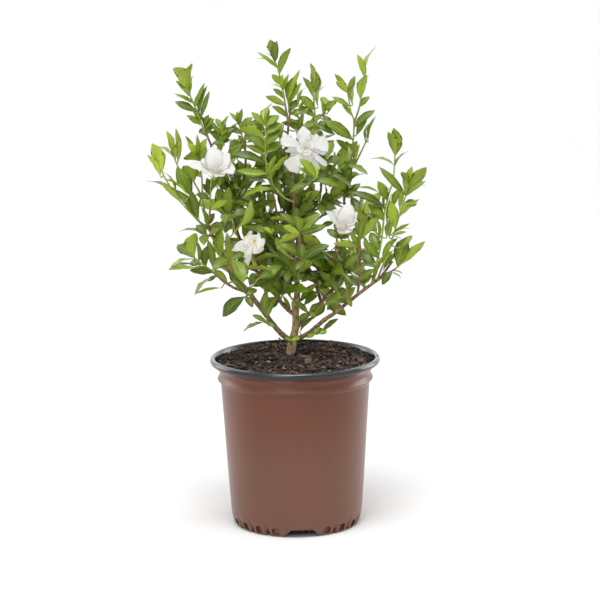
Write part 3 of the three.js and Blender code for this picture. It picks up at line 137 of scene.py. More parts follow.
# Leafy shoots. A stem is a list of points across, up and back, and its first point is on the
# wood. A leaf is its kind, where it leaves the stem, where its tip shows, and how wide it shows.
# Kinds: D full-grown, upper side to the eye; P lower side to the eye; B young, upper side to
# the eye; T nearly edge on. A spray is a stem with its leaves in crossed pairs: the number of
# pairs, the length of a leaf and the turn of the first pair in degrees, and then the stem.
# The shoots named rear are on the far side of the bush.
SHOOTS = read_table("""
top_left_shoot
    stem: -5 545 36, -9 570 34, -12 590 30, -18 618 25, -22 628 24
    stem: -5 545 36, -3 560 34, -5 573 31
    leaves: P -23 628 -27 657 12, D -22 627 -19 655 9, T -22 626 -33 639 6, T -20 620 -46 632 5,
        P -15 610 -1 646 9, P -13 595 -26 611 8, B -12 592 -12 611 5, B -11 588 -4 611 5,
        T -12 590 -28 597 4, P -10 578 -25 592 6, P -8 568 -35 582 8, P -5 573 4 608 13,
        D -5 573 11 617 6, D -4 570 13 600 6, T -4 566 18 592 5, D -6 553 -27 569 7,
        D -4 560 10 577 8, D -3 557 15 562 7
top_right_shoot
    stem: 36 510 44, 33 530 43, 31 548 42, 30 562 41, 28 585 40
    stem: 31 548 42, 38 554 46, 44 562 48
    leaves: P 28 585 28 618 12, P 29 578 15 607 7, T 30 568 45 596 5, D 30 562 10 582 10,
        D 31 553 10 568 8, B 44 562 41 581 10, D 43 560 60 575 8, D 32 546 14 540 9,
        D 33 536 28 528 10, D 40 556 51 536 9, T 35 514 57 532 5, D 32 538 46 545 9
upper_left_shoot
    stem: -108 517 38, -115 535 36, -120 545 34, -125 560 30, -137 590 22, -140 600 20
    stem: -108 517 38, -98 527 42, -92 541 46
    leaves: P -139 596 -153 622 17, P -139 598 -131 627 7, D -135 587 -133 604 6,
        D -138 592 -150 602 8, T -130 575 -152 583 4, D -126 562 -155 576 9,
        D -123 556 -112 597 6, D -122 552 -109 590 6, B -128 568 -124 586 5,
        B -120 546 -137 555 7, D -113 531 -103 547 7, D -116 537 -107 555 7,
        D -112 528 -122 540 8, B -96 532 -88 546 7, D -98 527 -75 540 8, T -92 541 -82 557 5,
        D -93 538 -101 553 7, D -104 521 -90 517 9
upper_inner_shoot
    stem: -62 505 48, -66 525 46, -70 545 44
    leaves: T -70 545 -78 558 5, B -70 545 -73 562 7, B -69 543 -66 566 6, D -69 540 -52 554 7,
        P -63 508 -72 531 7, D -65 522 -47 536 10, D -63 512 -84 522 10, D -67 532 -84 541 8
far_left_shoot
    stem: -111 402 -33, -124 413 -44, -137 427 -50, -150 442 -55, -165 465 -60, -174 482 -62
    leaves: P -174 482 -186 521 15, T -150 442 -194 471 6, P -145 438 -176 470 7,
        T -156 453 -172 483 5, D -130 422 -157 459 9, D -126 419 -138 460 9
left_tall_shoot
    stem: -117 417 -34, -119 432 -30, -121 446 -28, -130 465 -30, -140 480 -33, -151 487 -36,
        -156 498 -38
    stem: -121 446 -28, -121 470 -16, -123 488 -10, -126 502 -6
    leaves: T -156 498 -188 518 6, P -156 498 -165 528 8, P -153 492 -154 541 7,
        P -132 468 -142 491 16, P -125 497 -141 505 14, B -126 500 -139 521 9,
        B -126 500 -114 525 8, B -126 502 -126 532 5, P -126 502 -142 531 5,
        D -122 485 -114 517 8, D -121 474 -134 482 7
left_bloom_shoot
    stem: -114 409 -33, -111 430 -44, -110 455 -52, -109 470 -56
    leaves: D -110 452 -115 474 8, D -110 448 -121 466 7, B -111 432 -88 443 9,
        D -110 444 -128 452 8, D -110 455 -98 474 8
left_inner_shoot
    stem: -80 418 50, -84 438 38, -87 455 28
    spray: 3 36 20, -84 438 38, -74 450 26, -66 466 16
    leaves: D -87 455 -104 474 9, D -82 430 -73 466 9, D -85 444 -92 474 8, D -82 428 -60 442 9,
        D -86 450 -68 472 9, D -81 424 -98 438 9
low_left_shoot
    stem: -97 335 -36, -112 349 -50, -125 359 -62, -133 366 -70
    leaves: P -133 366 -133 400 16, D -132 365 -156 384 14, T -130 363 -167 351 7,
        D -118 353 -116 382 10, D -108 345 -140 349 10, B -104 341 -117 334 5,
        T -102 339 -134 315 5, D -122 357 -140 359 9
left_side_shoot
    stem: -107 393 -32, -113 396 -44, -118 397 -54
    leaves: T -117 397 -155 401 6, D -116 397 -120 383 11, D -113 396 -98 408 9,
        D -116 397 -130 410 10
left_front_shoot
    stem: -91 362 -30, -87 362 -46, -83 363 -60
    leaves: D -83 363 -68 331 18, D -85 363 -109 350 13, D -87 362 -98 378 9, D -84 363 -66 372 9
left_low_front_shoot
    stem: -59 316 -18, -62 314 -30, -66 312 -42
    leaves: D -66 312 -97 285 15, D -66 312 -56 297 8, D -63 313 -84 339 6, D -64 313 -50 322 8
left_lowest_shoot
    stem: -38 286 -7, -37 281 -19, -38 276 -29
    leaves: T -38 276 -69 265 6, D -38 277 -57 287 6, D -37 282 -37 321 10, D -37 280 -24 311 8,
        D -38 277 -26 270 6
low_bloom_shoot
    stem: -51 364 16, -53 374 6, -54 381 -2
    leaves: D -53 372 -86 388 9, D -52 368 -40 377 8
low_centre_shoot
    stem: 0 354 12, -3 351 -4, -6 349 -18
    spray: 2 34 50, -3 351 -4, -20 366 5, -33 380 15
    leaves: D -6 349 -57 326 13, D -5 350 -33 352 15, D -6 349 -10 331 11, D -4 351 -22 372 10
centre_shoot
    stem: 8 392 -62, 8 396 -74, 8 399 -84
    leaves: D 8 399 -18 425 9, P 8 399 5 421 14, D 8 399 36 424 12, P 8 399 17 411 6,
        P 8 394 -20 385 9, P 8 396 -14 408 9, D 8 395 45 408 9
centre_low_shoot
    stem: 5 366 -28, 10 363 -42, 15 361 -54
    leaves: D 15 361 48 381 12, D 14 361 46 369 10, D 12 362 9 385 10, D 9 364 -19 384 10,
        D 15 361 2 347 9
centre_left_shoot
    stem: -18 399 14, -24 398 2, -28 397 -8
    spray: 3 38 60, -24 398 2, -36 412 10, -48 428 14
    leaves: B -28 397 -41 406 6, B -28 397 -26 408 5, D -26 397 -68 408 10, D -25 397 -35 421 13
centre_upper_shoot
    stem: -22 425 12, -28 458 4, -33 475 0, -36 500 -4, -36 520 -5, -35 545 -4
    leaves: P -36 522 -70 541 15, P -36 502 -62 517 7, B -34 478 -75 483 10, D -36 492 -82 505 10,
        P -33 474 -22 503 8, P -33 472 -5 503 8, P -28 458 -52 458 7, P -24 436 -67 437 8,
        D -25 442 -70 422 9, D -36 515 -16 536 11, D -36 510 -58 530 11, D -36 505 -14 521 11,
        B -35 545 -33 568 11, T -35 545 -25 575 5, D -35 542 -54 561 8, D -35 534 -60 547 11,
        D -35 530 -13 545 11, D -35 540 -17 556 10, D -30 465 -12 478 9, D -27 452 -12 464 9
big_bloom_shoot
    stem: 0 480 -14, 5 494 -12, 11 505 -14
bright_front_shoot
    stem: 1 450 -13, 12 458 -34, 24 467 -54, 31 472 -64
    leaves: B 31 472 9 498 10, B 30 471 7 486 6, D 20 464 -5 452 8, D 27 469 61 460 9,
        B 31 472 28 489 7
bloom_side_shoot
    stem: 37 462 46, 40 473 34, 43 486 24, 45 496 18
    spray: 3 36 10, 40 473 34, 54 478 22, 68 488 14
    leaves: D 45 496 53 521 12, D 44 490 62 500 9, D 41 477 45 492 9, D 40 473 56 474 9,
        D 41 476 30 488 9
behind_bloom_shoot
    stem: 26 428 46, 31 434 32, 35 438 20
    spray: 3 36 75, 31 434 32, 16 446 22, 4 458 16
    leaves: D 35 438 27 455 11, D 35 438 55 447 13, D 33 436 58 430 12, D 33 436 14 441 9,
        D 34 437 40 422 10
right_bloom_shoot
    stem: 58 385 -18, 58 394 -26, 58 400 -32
    leaves: D 58 389 45 403 8, D 58 392 74 391 8
low_right_centre_shoot
    stem: 53 323 46, 51 327 32, 49 330 22
    spray: 3 36 30, 51 327 32, 66 338 22, 80 350 14
    leaves: D 49 330 20 345 12, D 49 330 66 347 9, D 50 328 33 322 8
trunk_shoot
    stem: 13 281 18, 17 286 8, 20 290 0
    leaves: D 19 289 4 278 7, D 20 290 33 302 7, D 19 288 0 306 7, B 20 290 29 284 5
right_lowest_shoot
    stem: 24 265 -3, 25 262 -14, 26 260 -22
    leaves: B 26 260 34 269 6, B 26 260 16 254 6, D 26 261 43 262 8
trunk_sprout
    stem: -5 244 5, -5 248 -6, -5 251 -14
    leaves: B -5 251 7 256 6, B -5 250 -14 256 5
right_low_shoot
    stem: 68 300 -15, 70 312 -20, 70 322 -24
    leaves: D 70 322 70 342 9, D 70 320 83 333 7, D 70 314 59 322 7, D 69 308 77 296 6,
        D 69 306 56 302 6
right_front_shoot
    stem: 89 366 -60, 89 377 -70, 89 387 -78
    leaves: P 89 387 112 418 10, P 89 387 84 413 10, P 89 378 53 383 9, D 89 382 101 425 7,
        D 89 376 76 396 8, D 89 370 68 350 10, D 89 372 104 355 10
right_end_shoot
    stem: 116 336 -28, 130 344 -36, 140 351 -42
    leaves: P 140 351 176 385 10, D 139 350 150 391 17, T 130 344 146 341 5, T 126 342 144 335 4,
        D 132 345 118 326 9
right_tall_shoot
    stem: 104 327 -25, 109 350 -18, 114 368 -13, 118 390 -8, 122 425 0, 128 450 4, 133 465 6,
        135 482 7, 136 500 8
    spray: 3 38 40, 118 390 -8, 106 402 4, 96 416 14
    leaves: D 114 354 82 370 12, D 114 347 84 328 10, P 114 354 137 368 8, B 116 372 103 398 12,
        D 121 412 100 436 12, T 122 426 132 462 6, D 126 440 113 467 11, D 122 430 76 453 9,
        P 136 500 127 533 11, P 136 500 135 538 14, T 135 487 103 497 5, T 135 483 154 507 5
right_long_shoot
    stem: 111 332 -27, 119 352 -38, 126 370 -42, 134 395 -42, 143 425 -42, 151 450 -40,
        153 465 -38
    leaves: B 136 402 130 440 13, D 146 435 165 437 9, T 134 395 156 402 6, T 133 391 144 388 4,
        D 150 447 115 486 9, P 151 450 178 485 14, P 153 463 145 479 8, B 153 465 159 486 7,
        T 149 444 176 461 6
upper_right_shoot
    stem: 68 440 56, 73 465 52, 79 505 46, 82 545 42, 78 560 40, 74 585 38
    stem: 82 545 42, 88 562 40, 91 575 38, 97 608 34
    stem: 77 490 48, 84 493 38, 92 508 30, 98 521 26
    leaves: D 70 448 77 494 14, T 73 462 50 475 5, T 73 464 99 477 5, D 69 446 90 464 9,
        D 71 454 86 447 8, P 79 503 58 523 8, P 79 500 71 521 8, D 78 497 86 521 10,
        D 82 538 110 562 9, D 80 522 42 549 13, T 98 520 93 538 4, T 98 521 101 544 4,
        T 97 519 108 549 4, P 74 585 57 611 7, P 74 584 59 601 9, D 74 585 84 608 6,
        D 77 566 53 580 6, T 79 556 65 567 4, P 78 562 90 589 8, B 96 604 87 636 8,
        T 97 608 112 646 5, P 91 576 99 609 11, T 96 602 104 609 4, D 89 566 103 580 7
rear_low_left_shoot
    spray: 3 42 20, -38 332 33, -45 348 60, -50 362 84
rear_left_shoot
    spray: 3 44 70, -72 392 49, -84 410 76, -88 428 100
rear_upper_left_shoot
    spray: 3 42 10, -73 447 52, -78 470 80, -80 492 102
rear_top_left_shoot
    spray: 3 44 40, -11 460 32, -22 490 62, -30 515 84
rear_top_shoot
    spray: 3 42 80, 37 480 46, 30 505 74, 24 528 94
rear_centre_shoot
    spray: 3 46 30, 15 406 45, 8 424 78, 2 442 106
rear_right_shoot
    spray: 3 44 60, 84 383 62, 90 400 88, 92 420 110
rear_upper_right_shoot
    spray: 3 44 15, 69 432 57, 66 456 84, 64 478 104
rear_low_right_shoot
    spray: 3 42 45, 66 342 54, 72 350 80, 74 362 102
rear_low_shoot
    spray: 3 44 75, 12 363 46, 2 372 76, -6 384 102
rear_lowest_shoot
    spray: 3 40 25, -18 304 21, -22 314 48, -24 326 70
rear_side_shoot
    spray: 3 38 50, 36 304 35, 44 300 60, 50 306 82
""")

# Blooms: the heart, the way it faces, its outer petals and its inner rings. A petal is where
# its tip shows, how far its tip is behind the heart, its width and its form. A ring is the number
# of its petals, their length, their lean from the bloom's axis, their width and the first one's
# turn.
BLOOMS = read_table("""
big_bloom heart: 17 513 -30 faces: 0.05 -0.93 0.3
    petals: 14 542 6 20 pointed, 48 518 3 24 fan, 46 509 7 17 square, 46 488 2 8 strip,
        35 481 9 8 strip, 21 492 0 19 round, -5 482 -4 25 fan, -11 508 8 9 pointed,
        -16 525 4 17 square, 38 526 8 16 fan, -1 497 8 15 round, 33 500 10 14 round,
        29 529 9 17 round
    rings: 4 13 72 13 20, 3 9 58 8 45
left_bloom heart: -103 479 -62 faces: 0.2 -0.5 0.85
    petals: -106 515 4 30 dome, -139 492 -5 21 pointed, -84 507 5 22 pointed,
        -77 486 -5 26 square, -92 476 -11 22 round, -105 479 -11 18 round, -120 500 6 20 round,
        -96 509 10 18 round
    rings: 3 17 22 11 90
right_bloom heart: 65 402 -40 faces: 0.2 -0.5 0.85
    petals: 75 437 3 24 dome, 44 428 -4 19 pointed, 85 426 3 20 pointed, 85 411 -3 22 square,
        78 399 -8 20 round, 67 396 -10 18 round, 55 412 -5 17 round, 61 430 8 18 round,
        67 417 -10 17 round
    rings: 3 16 30 10 10
low_bloom heart: -53 387 -14 faces: 0.12 -0.9 0.35
    petals: -64 393 -3 23 square, -43 389 -3 23 square, -40 381 -4 18 square,
        -46 371 -4 17 square, -83 375 0 15 pointed, -69 366 -2 16 round, -69 346 3 8 strip,
        -68 386 -1 16 round, -53 396 -2 19 square
    rings: 3 6 80 8 15
""")

# Single leaves between the shoots: where each starts and ends, across and up, its width and age.
SINGLE_LEAVES = read_rows("""
-135 449 -154 489 17 0.15, -99 519 -107 550 12 0.8, -98 503 -86 540 11 0.55,
-138 584 -150 608 12 0.2, -134 587 -131 610 6 0.15, -108 351 -114 390 11 0.6,
-128 359 -129 388 6 0.7, -84 342 -111 359 12 0.75, 6 303 34 317 12 0.5, 132 430 145 459 11 0.35,
142 420 157 439 8 0.4, 125 390 131 417 10 0.5, 113 387 112 417 6 0.6, 115 362 93 386 12 0.5,
119 359 139 390 9 0.5, 150 445 146 478 9 0.3, 81 569 84 605 11 0.3, 10 550 -3 562 6 0.5,
12 550 23 566 10 0.6, 9 569 14 590 7 0.4, 35 566 40 602 7 0.3, 40 550 38 579 6 0.5,
56 530 32 542 8 0.6, -13 511 -11 547 8 0.5, 82 489 89 517 7 0.4, 85 528 100 553 8 0.3,
101 519 111 554 6 0.25, -158 511 -167 537 8 0.2, -116 406 -122 434 7 0.6, -116 409 -105 426 9 0.7,
-5 290 -15 313 6 0.5, -2 290 4 315 6 0.5, 57 318 69 337 7 0.6, 92 325 106 340 8 0.6,
108 328 118 359 8 0.5, -134 357 -168 351 5 0.4, -127 569 -115 601 5 0.15, -126 570 -155 587 5 0.2,
-122 544 -140 558 8 0.25, -122 547 -131 565 8 0.2, -117 544 -110 558 7 0.7,
-115 540 -103 553 7 0.75, -114 539 -101 543 6 0.8, -117 544 -121 557 6 0.6, -93 529 -85 557 7 0.6,
-93 529 -96 546 7 0.3, -110 535 -95 524 12 0.75, -82 524 -101 517 11 0.6, -73 546 -87 524 8 0.7,
-113 526 -121 507 9 0.8, -117 540 -124 533 5 0.6, -72 546 -83 561 5 0.4, -68 518 -74 497 7 0.4,
-139 586 -153 604 8 0.25, -134 586 -134 610 5 0.2, -17 617 -45 641 5 0.3, -24 633 -33 649 5 0.2,
30 599 25 626 7 0.2, 81 553 66 572 5 0.4, 47 557 62 579 5 0.4, -6 558 -8 587 4 0.4,
-176 475 -193 506 8 0.25, -139 448 -172 474 6 0.4, -130 351 -168 350 7 0.4,
-98 324 -133 317 5 0.4, -89 330 -108 350 9 0.7, 139 415 168 442 8 0.5, 142 428 147 456 7 0.5,
150 445 177 466 6 0.3, 120 346 138 368 7 0.5, 123 359 133 373 5 0.5, 144 376 159 393 8 0.5,
128 390 133 415 6 0.4, 131 395 155 409 5 0.4, 133 393 151 398 4 0.4, 33 415 55 427 9 0.8,
36 405 54 412 7 0.8, 80 445 61 449 5 0.6, -29 427 -34 455 11 0.8, -17 427 -22 453 6 0.7,
8 307 31 329 10 0.7, 13 299 32 313 9 0.8, 7 262 29 284 8 0.7, 37 263 59 281 8 0.6,
32 260 44 264 6 0.4, -41 277 -69 266 5 0.5, 98 376 93 393 5 0.6, 128 395 131 450 5 0.5,
115 450 87 459 4 0.6, 11 558 18 577 6 0.7, 8 536 15 558 7 0.7, 40 525 35 537 6 0.7,
-51 459 -38 470 5 0.7
""")

LEAF_LENGTH_PER_WIDTH = 2.7
EDGE_ON_WIDTH_SHARE = 0.3
EDGE_ON_LENGTHENING = 1.1
LONGEST_REACH = 30
# Turn of the upper side from the eye, arch, fold, and age from 0, young, to 1, full-grown.
KINDS = {
    "D": (24, 0.1, 0.22, 0.86),
    "P": (152, 0.09, 0.26, 0.4),
    "B": (20, 0.08, 0.28, 0.1),
    "T": (74, 0.12, 0.2, 0.55),
}
LEAF_SWINGS = [0, -8, 8, -16, 16, -24, 24, -32, 32, -40, 40]
LEAF_SCALES = [1, 0.85, 0.7, 0.55]
TIP_TOLERANCE = 0.4 * MM
PAIR_LEAN = 58
PAIR_LEAN_FALL = 8
PAIR_JITTER = 16
PAIRED_LEAF_WIDTH_SHARE = 0.36
PLAIN_ARCH = 0.1
PLAIN_FOLD = 0.22
LEAST_SIZE = 0.82
SIZE_SPREAD = 0.3
SHOOT_RADIUS = (1.5, 0.85)
BUD_LENGTH = 3
# How far from the wood a shoot's stem and a spray's stem turn from brown to green.
SHOOT_BROWN = 30 * MM
SPRAY_BROWN = 14 * MM
INNER_SPRAY_BROWN = 12 * MM

LEAF_ROWS = 8
LEAF_COLUMNS = 4
LEAF_THICKNESS = 0.5
LEAF_STALK = 0.8
LEAF_STALK_SHARE = 0.05
LEAF_BEND = 0.05
LEAF_RIPPLE = 0.12
LEAF_RIPPLES = 2.2
LEAF_CURL = 0.02
LEAF_WIDENING = 1.16
STEM_SIDES = 8
SMOOTHING_STEPS = 4
WELD = 1e-7

# Leaves grow younger from the first height to the second.
YOUNG_HEIGHTS = (430, 640)
YOUNG_SHARE = 0.35


def seen(point):
    """The place of a point across, up and back, in metres."""
    across, up, back = point
    reach = 1 + back / -EYE.y
    return MM * Vector((EYE.x + (across - EYE.x) * reach, back, EYE.z + (up - EYE.z) * reach))


def shown(place):
    """The other way round: across, up and back of a place."""
    x, y, z = place / MM
    reach = 1 + y / -EYE.y
    return [EYE.x + (x - EYE.x) / reach, EYE.z + (z - EYE.z) / reach, y]


def draw(seed):
    """A seeded draw between 0 and 1."""
    wave = math.sin(seed * 12.9898) * 43758.5453
    return wave - math.floor(wave)


def clamp(value, low=0.0, high=1.0):
    return max(low, min(high, value))


def fade(value, start, end):
    """0 before start, 1 after end, and smooth between them."""
    t = clamp((value - start) / (end - start))
    return t * t * (3 - 2 * t)


def square_to(way, axis):
    """The part of a way that is at a right angle to an axis, one long."""
    return (way - axis * way.dot(axis)).normalized()


def tapered(ends):
    """A radius that runs evenly from one end to the other."""
    first, last = ends
    return lambda share: MM * (first + (last - first) * share)


def marked(age, chance=0.5):
    """The tone of a surface: its age, its chance and its two shares."""
    return lambda t, v: (age, chance, t, v)


# Meshes. Every surface is a flat grid laid out by a function of its two shares.


def new_mesh():
    bm = bmesh.new()
    bm.loops.layers.uv.new("UVMap")
    bm.verts.layers.float_color.new("tone")
    return bm


def add_sheet(bm, rows, columns, place, tone, slot=0):
    """Lays a grid out by place(t, v), and marks it with tone(t, v)."""
    layer = bm.verts.layers.float_color["tone"]
    grid = bmesh.ops.create_grid(bm, x_segments=rows, y_segments=columns, size=0.5, calc_uvs=True)
    faces = set()
    for vert in grid["verts"]:
        t, v = vert.co.x + 0.5, vert.co.y + 0.5
        vert.co = place(t, v)
        vert[layer] = tone(t, v)
        faces.update(vert.link_faces)
    for face in faces:
        face.material_index = slot
        face.smooth = True


def smoothed(points, steps=SMOOTHING_STEPS):
    """Points on a smooth curve through the given ones, with the share of the way for each."""
    last = len(points) - 1
    path = []
    for i in range(last):
        before, a, b, after = (points[clamp(i + k, 0, last)] for k in (-1, 0, 1, 2))
        for step in range(steps):
            t = step / steps
            path.append((
                0.5 * (2 * a + (b - before) * t + (2 * before - 5 * a + 4 * b - after) * t * t
                       + (3 * a - before - 3 * b + after) * t ** 3),
                (i + t) / last,
            ))
    path.append((points[last], 1.0))
    return path


def length_of(path):
    return sum((b - a).length for a, b in zip(path, path[1:]))


def add_tube(bm, points, radius, sides, tone, slot=0, steps=SMOOTHING_STEPS, relief=None):
    """A closed round tube on a smooth curve; radius(share) is in metres."""
    path = smoothed(points, steps)
    rings = []
    across = Vector((1, 0, 0))
    for i, (place, share) in enumerate(path):
        along = (path[min(i + 1, len(path) - 1)][0] - path[max(i - 1, 0)][0]).normalized()
        across = square_to(across, along)
        rings.append((place, across.copy(), along.cross(across), radius(share), share))
    first, last = rings[0], rings[-1]
    rings = [(*first[:3], 0, 0), *rings, (*last[:3], 0, 1)]
    steps_along = len(rings) - 1

    def place(t, v):
        spot, side, other, r, share = rings[round(t * steps_along)]
        angle = -2 * math.pi * v
        way = side * math.cos(angle) + other * math.sin(angle)
        if relief:
            r *= 1 + relief(spot + way * r)
        return spot + way * r

    def shade(t, v):
        return tone(rings[round(t * steps_along)][4], v)

    add_sheet(bm, steps_along, sides, place, shade, slot)


def add_blade(bm, root, tip, upper, width, arch, fold, outline, form, tone, slots):
    """A leaf or petal: an upper and a lower sheet that meet at the edge."""
    along = tip - root
    length = along.length
    along.normalize()
    up = square_to(upper, along)
    side = up.cross(along)
    rows, columns, thickness, stalk, bend, ripple, ripples, curl, chance = form
    phase = 2 * math.pi * chance

    def place_of(sign):
        def place(t, v):
            across = (2 * v - 1) * sign
            half = 0 if t < 1e-6 or t > 1 - 1e-6 else max(outline(t) * width / 2, stalk * (1 - t))
            lift = arch * length * 4 * t * (1 - t) + fold * half * across * across
            lift += ripple * half * across * across * math.sin(2 * math.pi * ripples * t + phase)
            lift -= curl * length * fade(t, 0.55, 1) * (0.5 + 0.5 * across * across)
            sway = bend * length * math.sin(math.pi * t)
            thick = max(thickness * (1 - across * across), 0)
            if t < 0.12:
                thick = max(thick, 1.3 * half * math.sqrt(max(1 - across * across, 0)))
            return (root + along * (length * t) + side * (half * across + sway)
                    + up * (lift + sign * thick / 2))
        return place

    for sign, slot in zip((1, -1), slots):
        add_sheet(bm, rows, columns, place_of(sign), tone, slot)


def placed(bm, name, materials):
    """An object in the scene with this mesh and these materials."""
    mesh = bpy.data.meshes.new(name)
    bm.to_mesh(mesh)
    bm.free()
    for material in materials:
        mesh.materials.append(material)
    made = bpy.data.objects.new(name, mesh)
    bpy.context.scene.collection.objects.link(made)
    return made


def finished(bm, name, nodes, materials):
    """Joins the seams, and makes the piece that stands for the CAD nodes."""
    bmesh.ops.remove_doubles(bm, verts=bm.verts, dist=WELD)
    piece = placed(bm, name, materials)
    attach(piece, "root")
    if nodes:
        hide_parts(*nodes)


# Materials.


def linear(colour):
    """An sRGB colour written as six hex digits, as linear red, green, blue and alpha."""
    parts = [int(colour[i:i + 2], 16) / 255 for i in (0, 2, 4)]
    return (*(c / 12.92 if c <= 0.04045 else ((c + 0.055) / 1.055) ** 2.4 for c in parts), 1)


class Nodes:
    """Adds nodes to a tree."""

    def __init__(self, tree):
        self.tree = tree

    def feed(self, node, socket, value):
        """Links a socket, or sets it to a number or to a colour of six hex digits."""
        if isinstance(value, bpy.types.NodeSocket):
            self.tree.links.new(value, node.inputs[socket])
        else:
            node.inputs[socket].default_value = linear(value) if isinstance(value, str) else value

    def add(self, kind, inputs=(), **settings):
        """The outputs of a new node."""
        node = self.tree.nodes.new("ShaderNode" + kind)
        for name, value in settings.items():
            setattr(node, name, value)
        for socket, value in dict(inputs).items():
            self.feed(node, socket, value)
        return node.outputs

    def math(self, operation, a, b=0.0):
        return self.add("Math", {0: a, 1: b}, operation=operation)[0]

    def times(self, a, b):
        return self.math("MULTIPLY", a, b)

    def plus(self, a, b):
        return self.math("ADD", a, b)

    def mix_shaders(self, factor, one, other):
        return self.add("MixShader", {0: factor, 1: one, 2: other})[0]

    def show(self, output, surface):
        self.tree.links.new(surface, self.tree.nodes[output].inputs["Surface"])


class Paint(Nodes):
    """A procedural material: its main shader and the nodes that feed it."""

    def __init__(self, name, roughness, specular=0.5):
        self.material = bpy.data.materials.new(name)
        self.material.use_nodes = True
        super().__init__(self.material.node_tree)
        self.shader = self.tree.nodes["Principled BSDF"]
        self.set("Roughness", roughness)
        self.set("Specular IOR Level", specular)

    def set(self, socket, value):
        self.feed(self.shader, socket, value)

    def colour(self, value):
        self.set("Base Color", value)

    def place(self):
        return self.add("TexCoord")["Object"]

    def layout(self):
        """The shares along and across a surface."""
        parts = self.add("SeparateXYZ", {0: self.add("UVMap", uv_map="UVMap")[0]})
        return parts["X"], parts["Y"]

    def height(self):
        return self.add("SeparateXYZ", {0: self.place()})["Z"]

    def tone(self):
        """Age and chance, and the share along."""
        colour = self.add("Attribute", attribute_name="tone")["Color"]
        parts = self.add("SeparateColor", {"Color": colour})
        return parts["Red"], parts["Green"], parts["Blue"]

    def noise(self, scale, detail=2, vector=None):
        inputs = {"Vector": vector or self.place(), "Scale": scale, "Detail": detail}
        return self.add("TexNoise", inputs)["Fac"]

    def range(self, value, low, high, start=0.0, end=1.0):
        inputs = {"Value": value, "From Min": low, "From Max": high, "To Min": start, "To Max": end}
        return self.add("MapRange", inputs, interpolation_type="SMOOTHSTEP")["Result"]

    def mix(self, factor, one, other):
        return self.add("Mix", {0: factor, 6: one, 7: other}, data_type="RGBA")[2]

    def blend(self, value, low, high, one, other, most=1.0):
        """One colour where a value is low, and up to a share of the other where it is high."""
        return self.mix(self.range(value, low, high, 0, most), one, other)

    def bump(self, height, strength, distance):
        inputs = {"Height": height, "Strength": strength, "Distance": distance * MM}
        self.set("Normal", self.add("Bump", inputs)["Normal"])

    def see_through(self, colour, share):
        """Lets a share of the light through the blade."""
        glow = self.add("BsdfTranslucent", {"Color": colour})[0]
        self.show("Material Output", self.mix_shaders(share, self.shader.outputs[0], glow))


def veins(paint, pairs, slant):
    """The midrib and the side veins of a blade, from its own layout."""
    along, across = paint.layout()
    across = paint.math("SUBTRACT", across, 0.5)
    off = paint.times(paint.math("ABSOLUTE", across), 2)
    side = paint.times(paint.math("GREATER_THAN", across, 0), 0.5)
    wave = paint.math("SUBTRACT", paint.times(along, pairs), paint.times(off, slant))
    wave = paint.math("FRACT", paint.plus(wave, side))
    line = paint.math("ABSOLUTE", paint.math("SUBTRACT", wave, 0.5))
    return paint.range(off, 0.02, 0.1, 1, 0), paint.range(line, 0.03, 0.16, 1, 0)


def leaf_paint(name, young, grown, rib, gloss, vein_strength, through):
    paint = Paint(name, *gloss)
    age, chance, along = paint.tone()
    midrib, lines = veins(paint, 9, 1.7)
    colour = paint.mix(age, young, grown)
    colour = paint.blend(paint.noise(90, 3), 0.4, 0.75, colour, young, 0.25)
    shade = paint.plus(paint.times(chance, 0.7), 0.66)
    hue = paint.plus(paint.times(chance, -0.02), 0.51)
    colour = paint.add("HueSaturation", {"Color": colour, "Value": shade, "Hue": hue})[0]
    paint.see_through(paint.mix(0.5, colour, "b4d22c"), through)
    colour = paint.mix(paint.times(lines, vein_strength), colour, rib)
    fading = paint.times(paint.range(along, 0.55, 1, 1, 0.2), 0.5)
    paint.colour(paint.mix(paint.times(midrib, fading), colour, rib))
    paint.bump(paint.times(paint.plus(paint.times(lines, 0.5), midrib), -1), 0.5, 0.3)
    return paint.material


def stem_paint():
    paint = Paint("green_stem", 0.5, 0.4)
    age = paint.tone()[0]
    streak = paint.range(paint.noise(260), 0.35, 0.7)
    green = paint.mix(streak, "93a844", "748c30")
    brown = paint.mix(streak, "9a7c54", "735840")
    paint.colour(paint.mix(age, brown, green))
    paint.bump(streak, 0.3, 0.2)
    return paint.material


def bark_paint():
    paint = Paint("bark", 0.85, 0.25)
    age = paint.tone()[0]
    stretch = paint.add("Mapping", {"Vector": paint.place(), "Scale": (1, 1, 0.35)})[0]
    grain = paint.noise(420, 6, stretch)
    patch = paint.noise(110, 4)
    twig = paint.blend(grain, 0.35, 0.65, "523c2c", "957757")
    trunk = paint.blend(grain, 0.3, 0.7, "76643f", "bfab7c")
    colour = paint.mix(age, twig, trunk)
    paint.colour(paint.blend(patch, 0.55, 0.72, colour, "a5a07c", 0.6))
    paint.bump(paint.plus(grain, paint.times(patch, 0.8)), 0.8, 0.7)
    return paint.material


def petal_paint_with_painted_glow():
    paint = Paint("petal", 0.55, 0.3)
    age = paint.tone()[0]
    along, across = paint.layout()
    ribs = paint.math("SINE", paint.times(across, 80))
    colour = paint.mix(paint.range(along, 0.0, 0.3, 0.7, 0), "dddcd9", "dfd6b4")
    colour = paint.mix(paint.times(age, 0.6), colour, "e6e0d2")
    colour = paint.blend(paint.noise(60, 3), 0.5, 0.8, colour, "dbdad4", 0.25)
    paint.colour(colour)
    paint.set("Subsurface Weight", 0.25)
    paint.set("Subsurface Scale", 3 * MM)
    paint.bump(paint.plus(paint.times(ribs, 0.35), paint.noise(110, 3)), 0.3, 0.4)
    # Painted light: the petals glow with their own colour, at 0.2 plus 0.3 of their age, which
    # evens out the shade that falls on them inside the bush.
    paint.set("Emission Color", colour)
    paint.set("Emission Strength", paint.plus(paint.times(age, 0.3), 0.2))
    paint.see_through(colour, 0.38)
    return paint.material


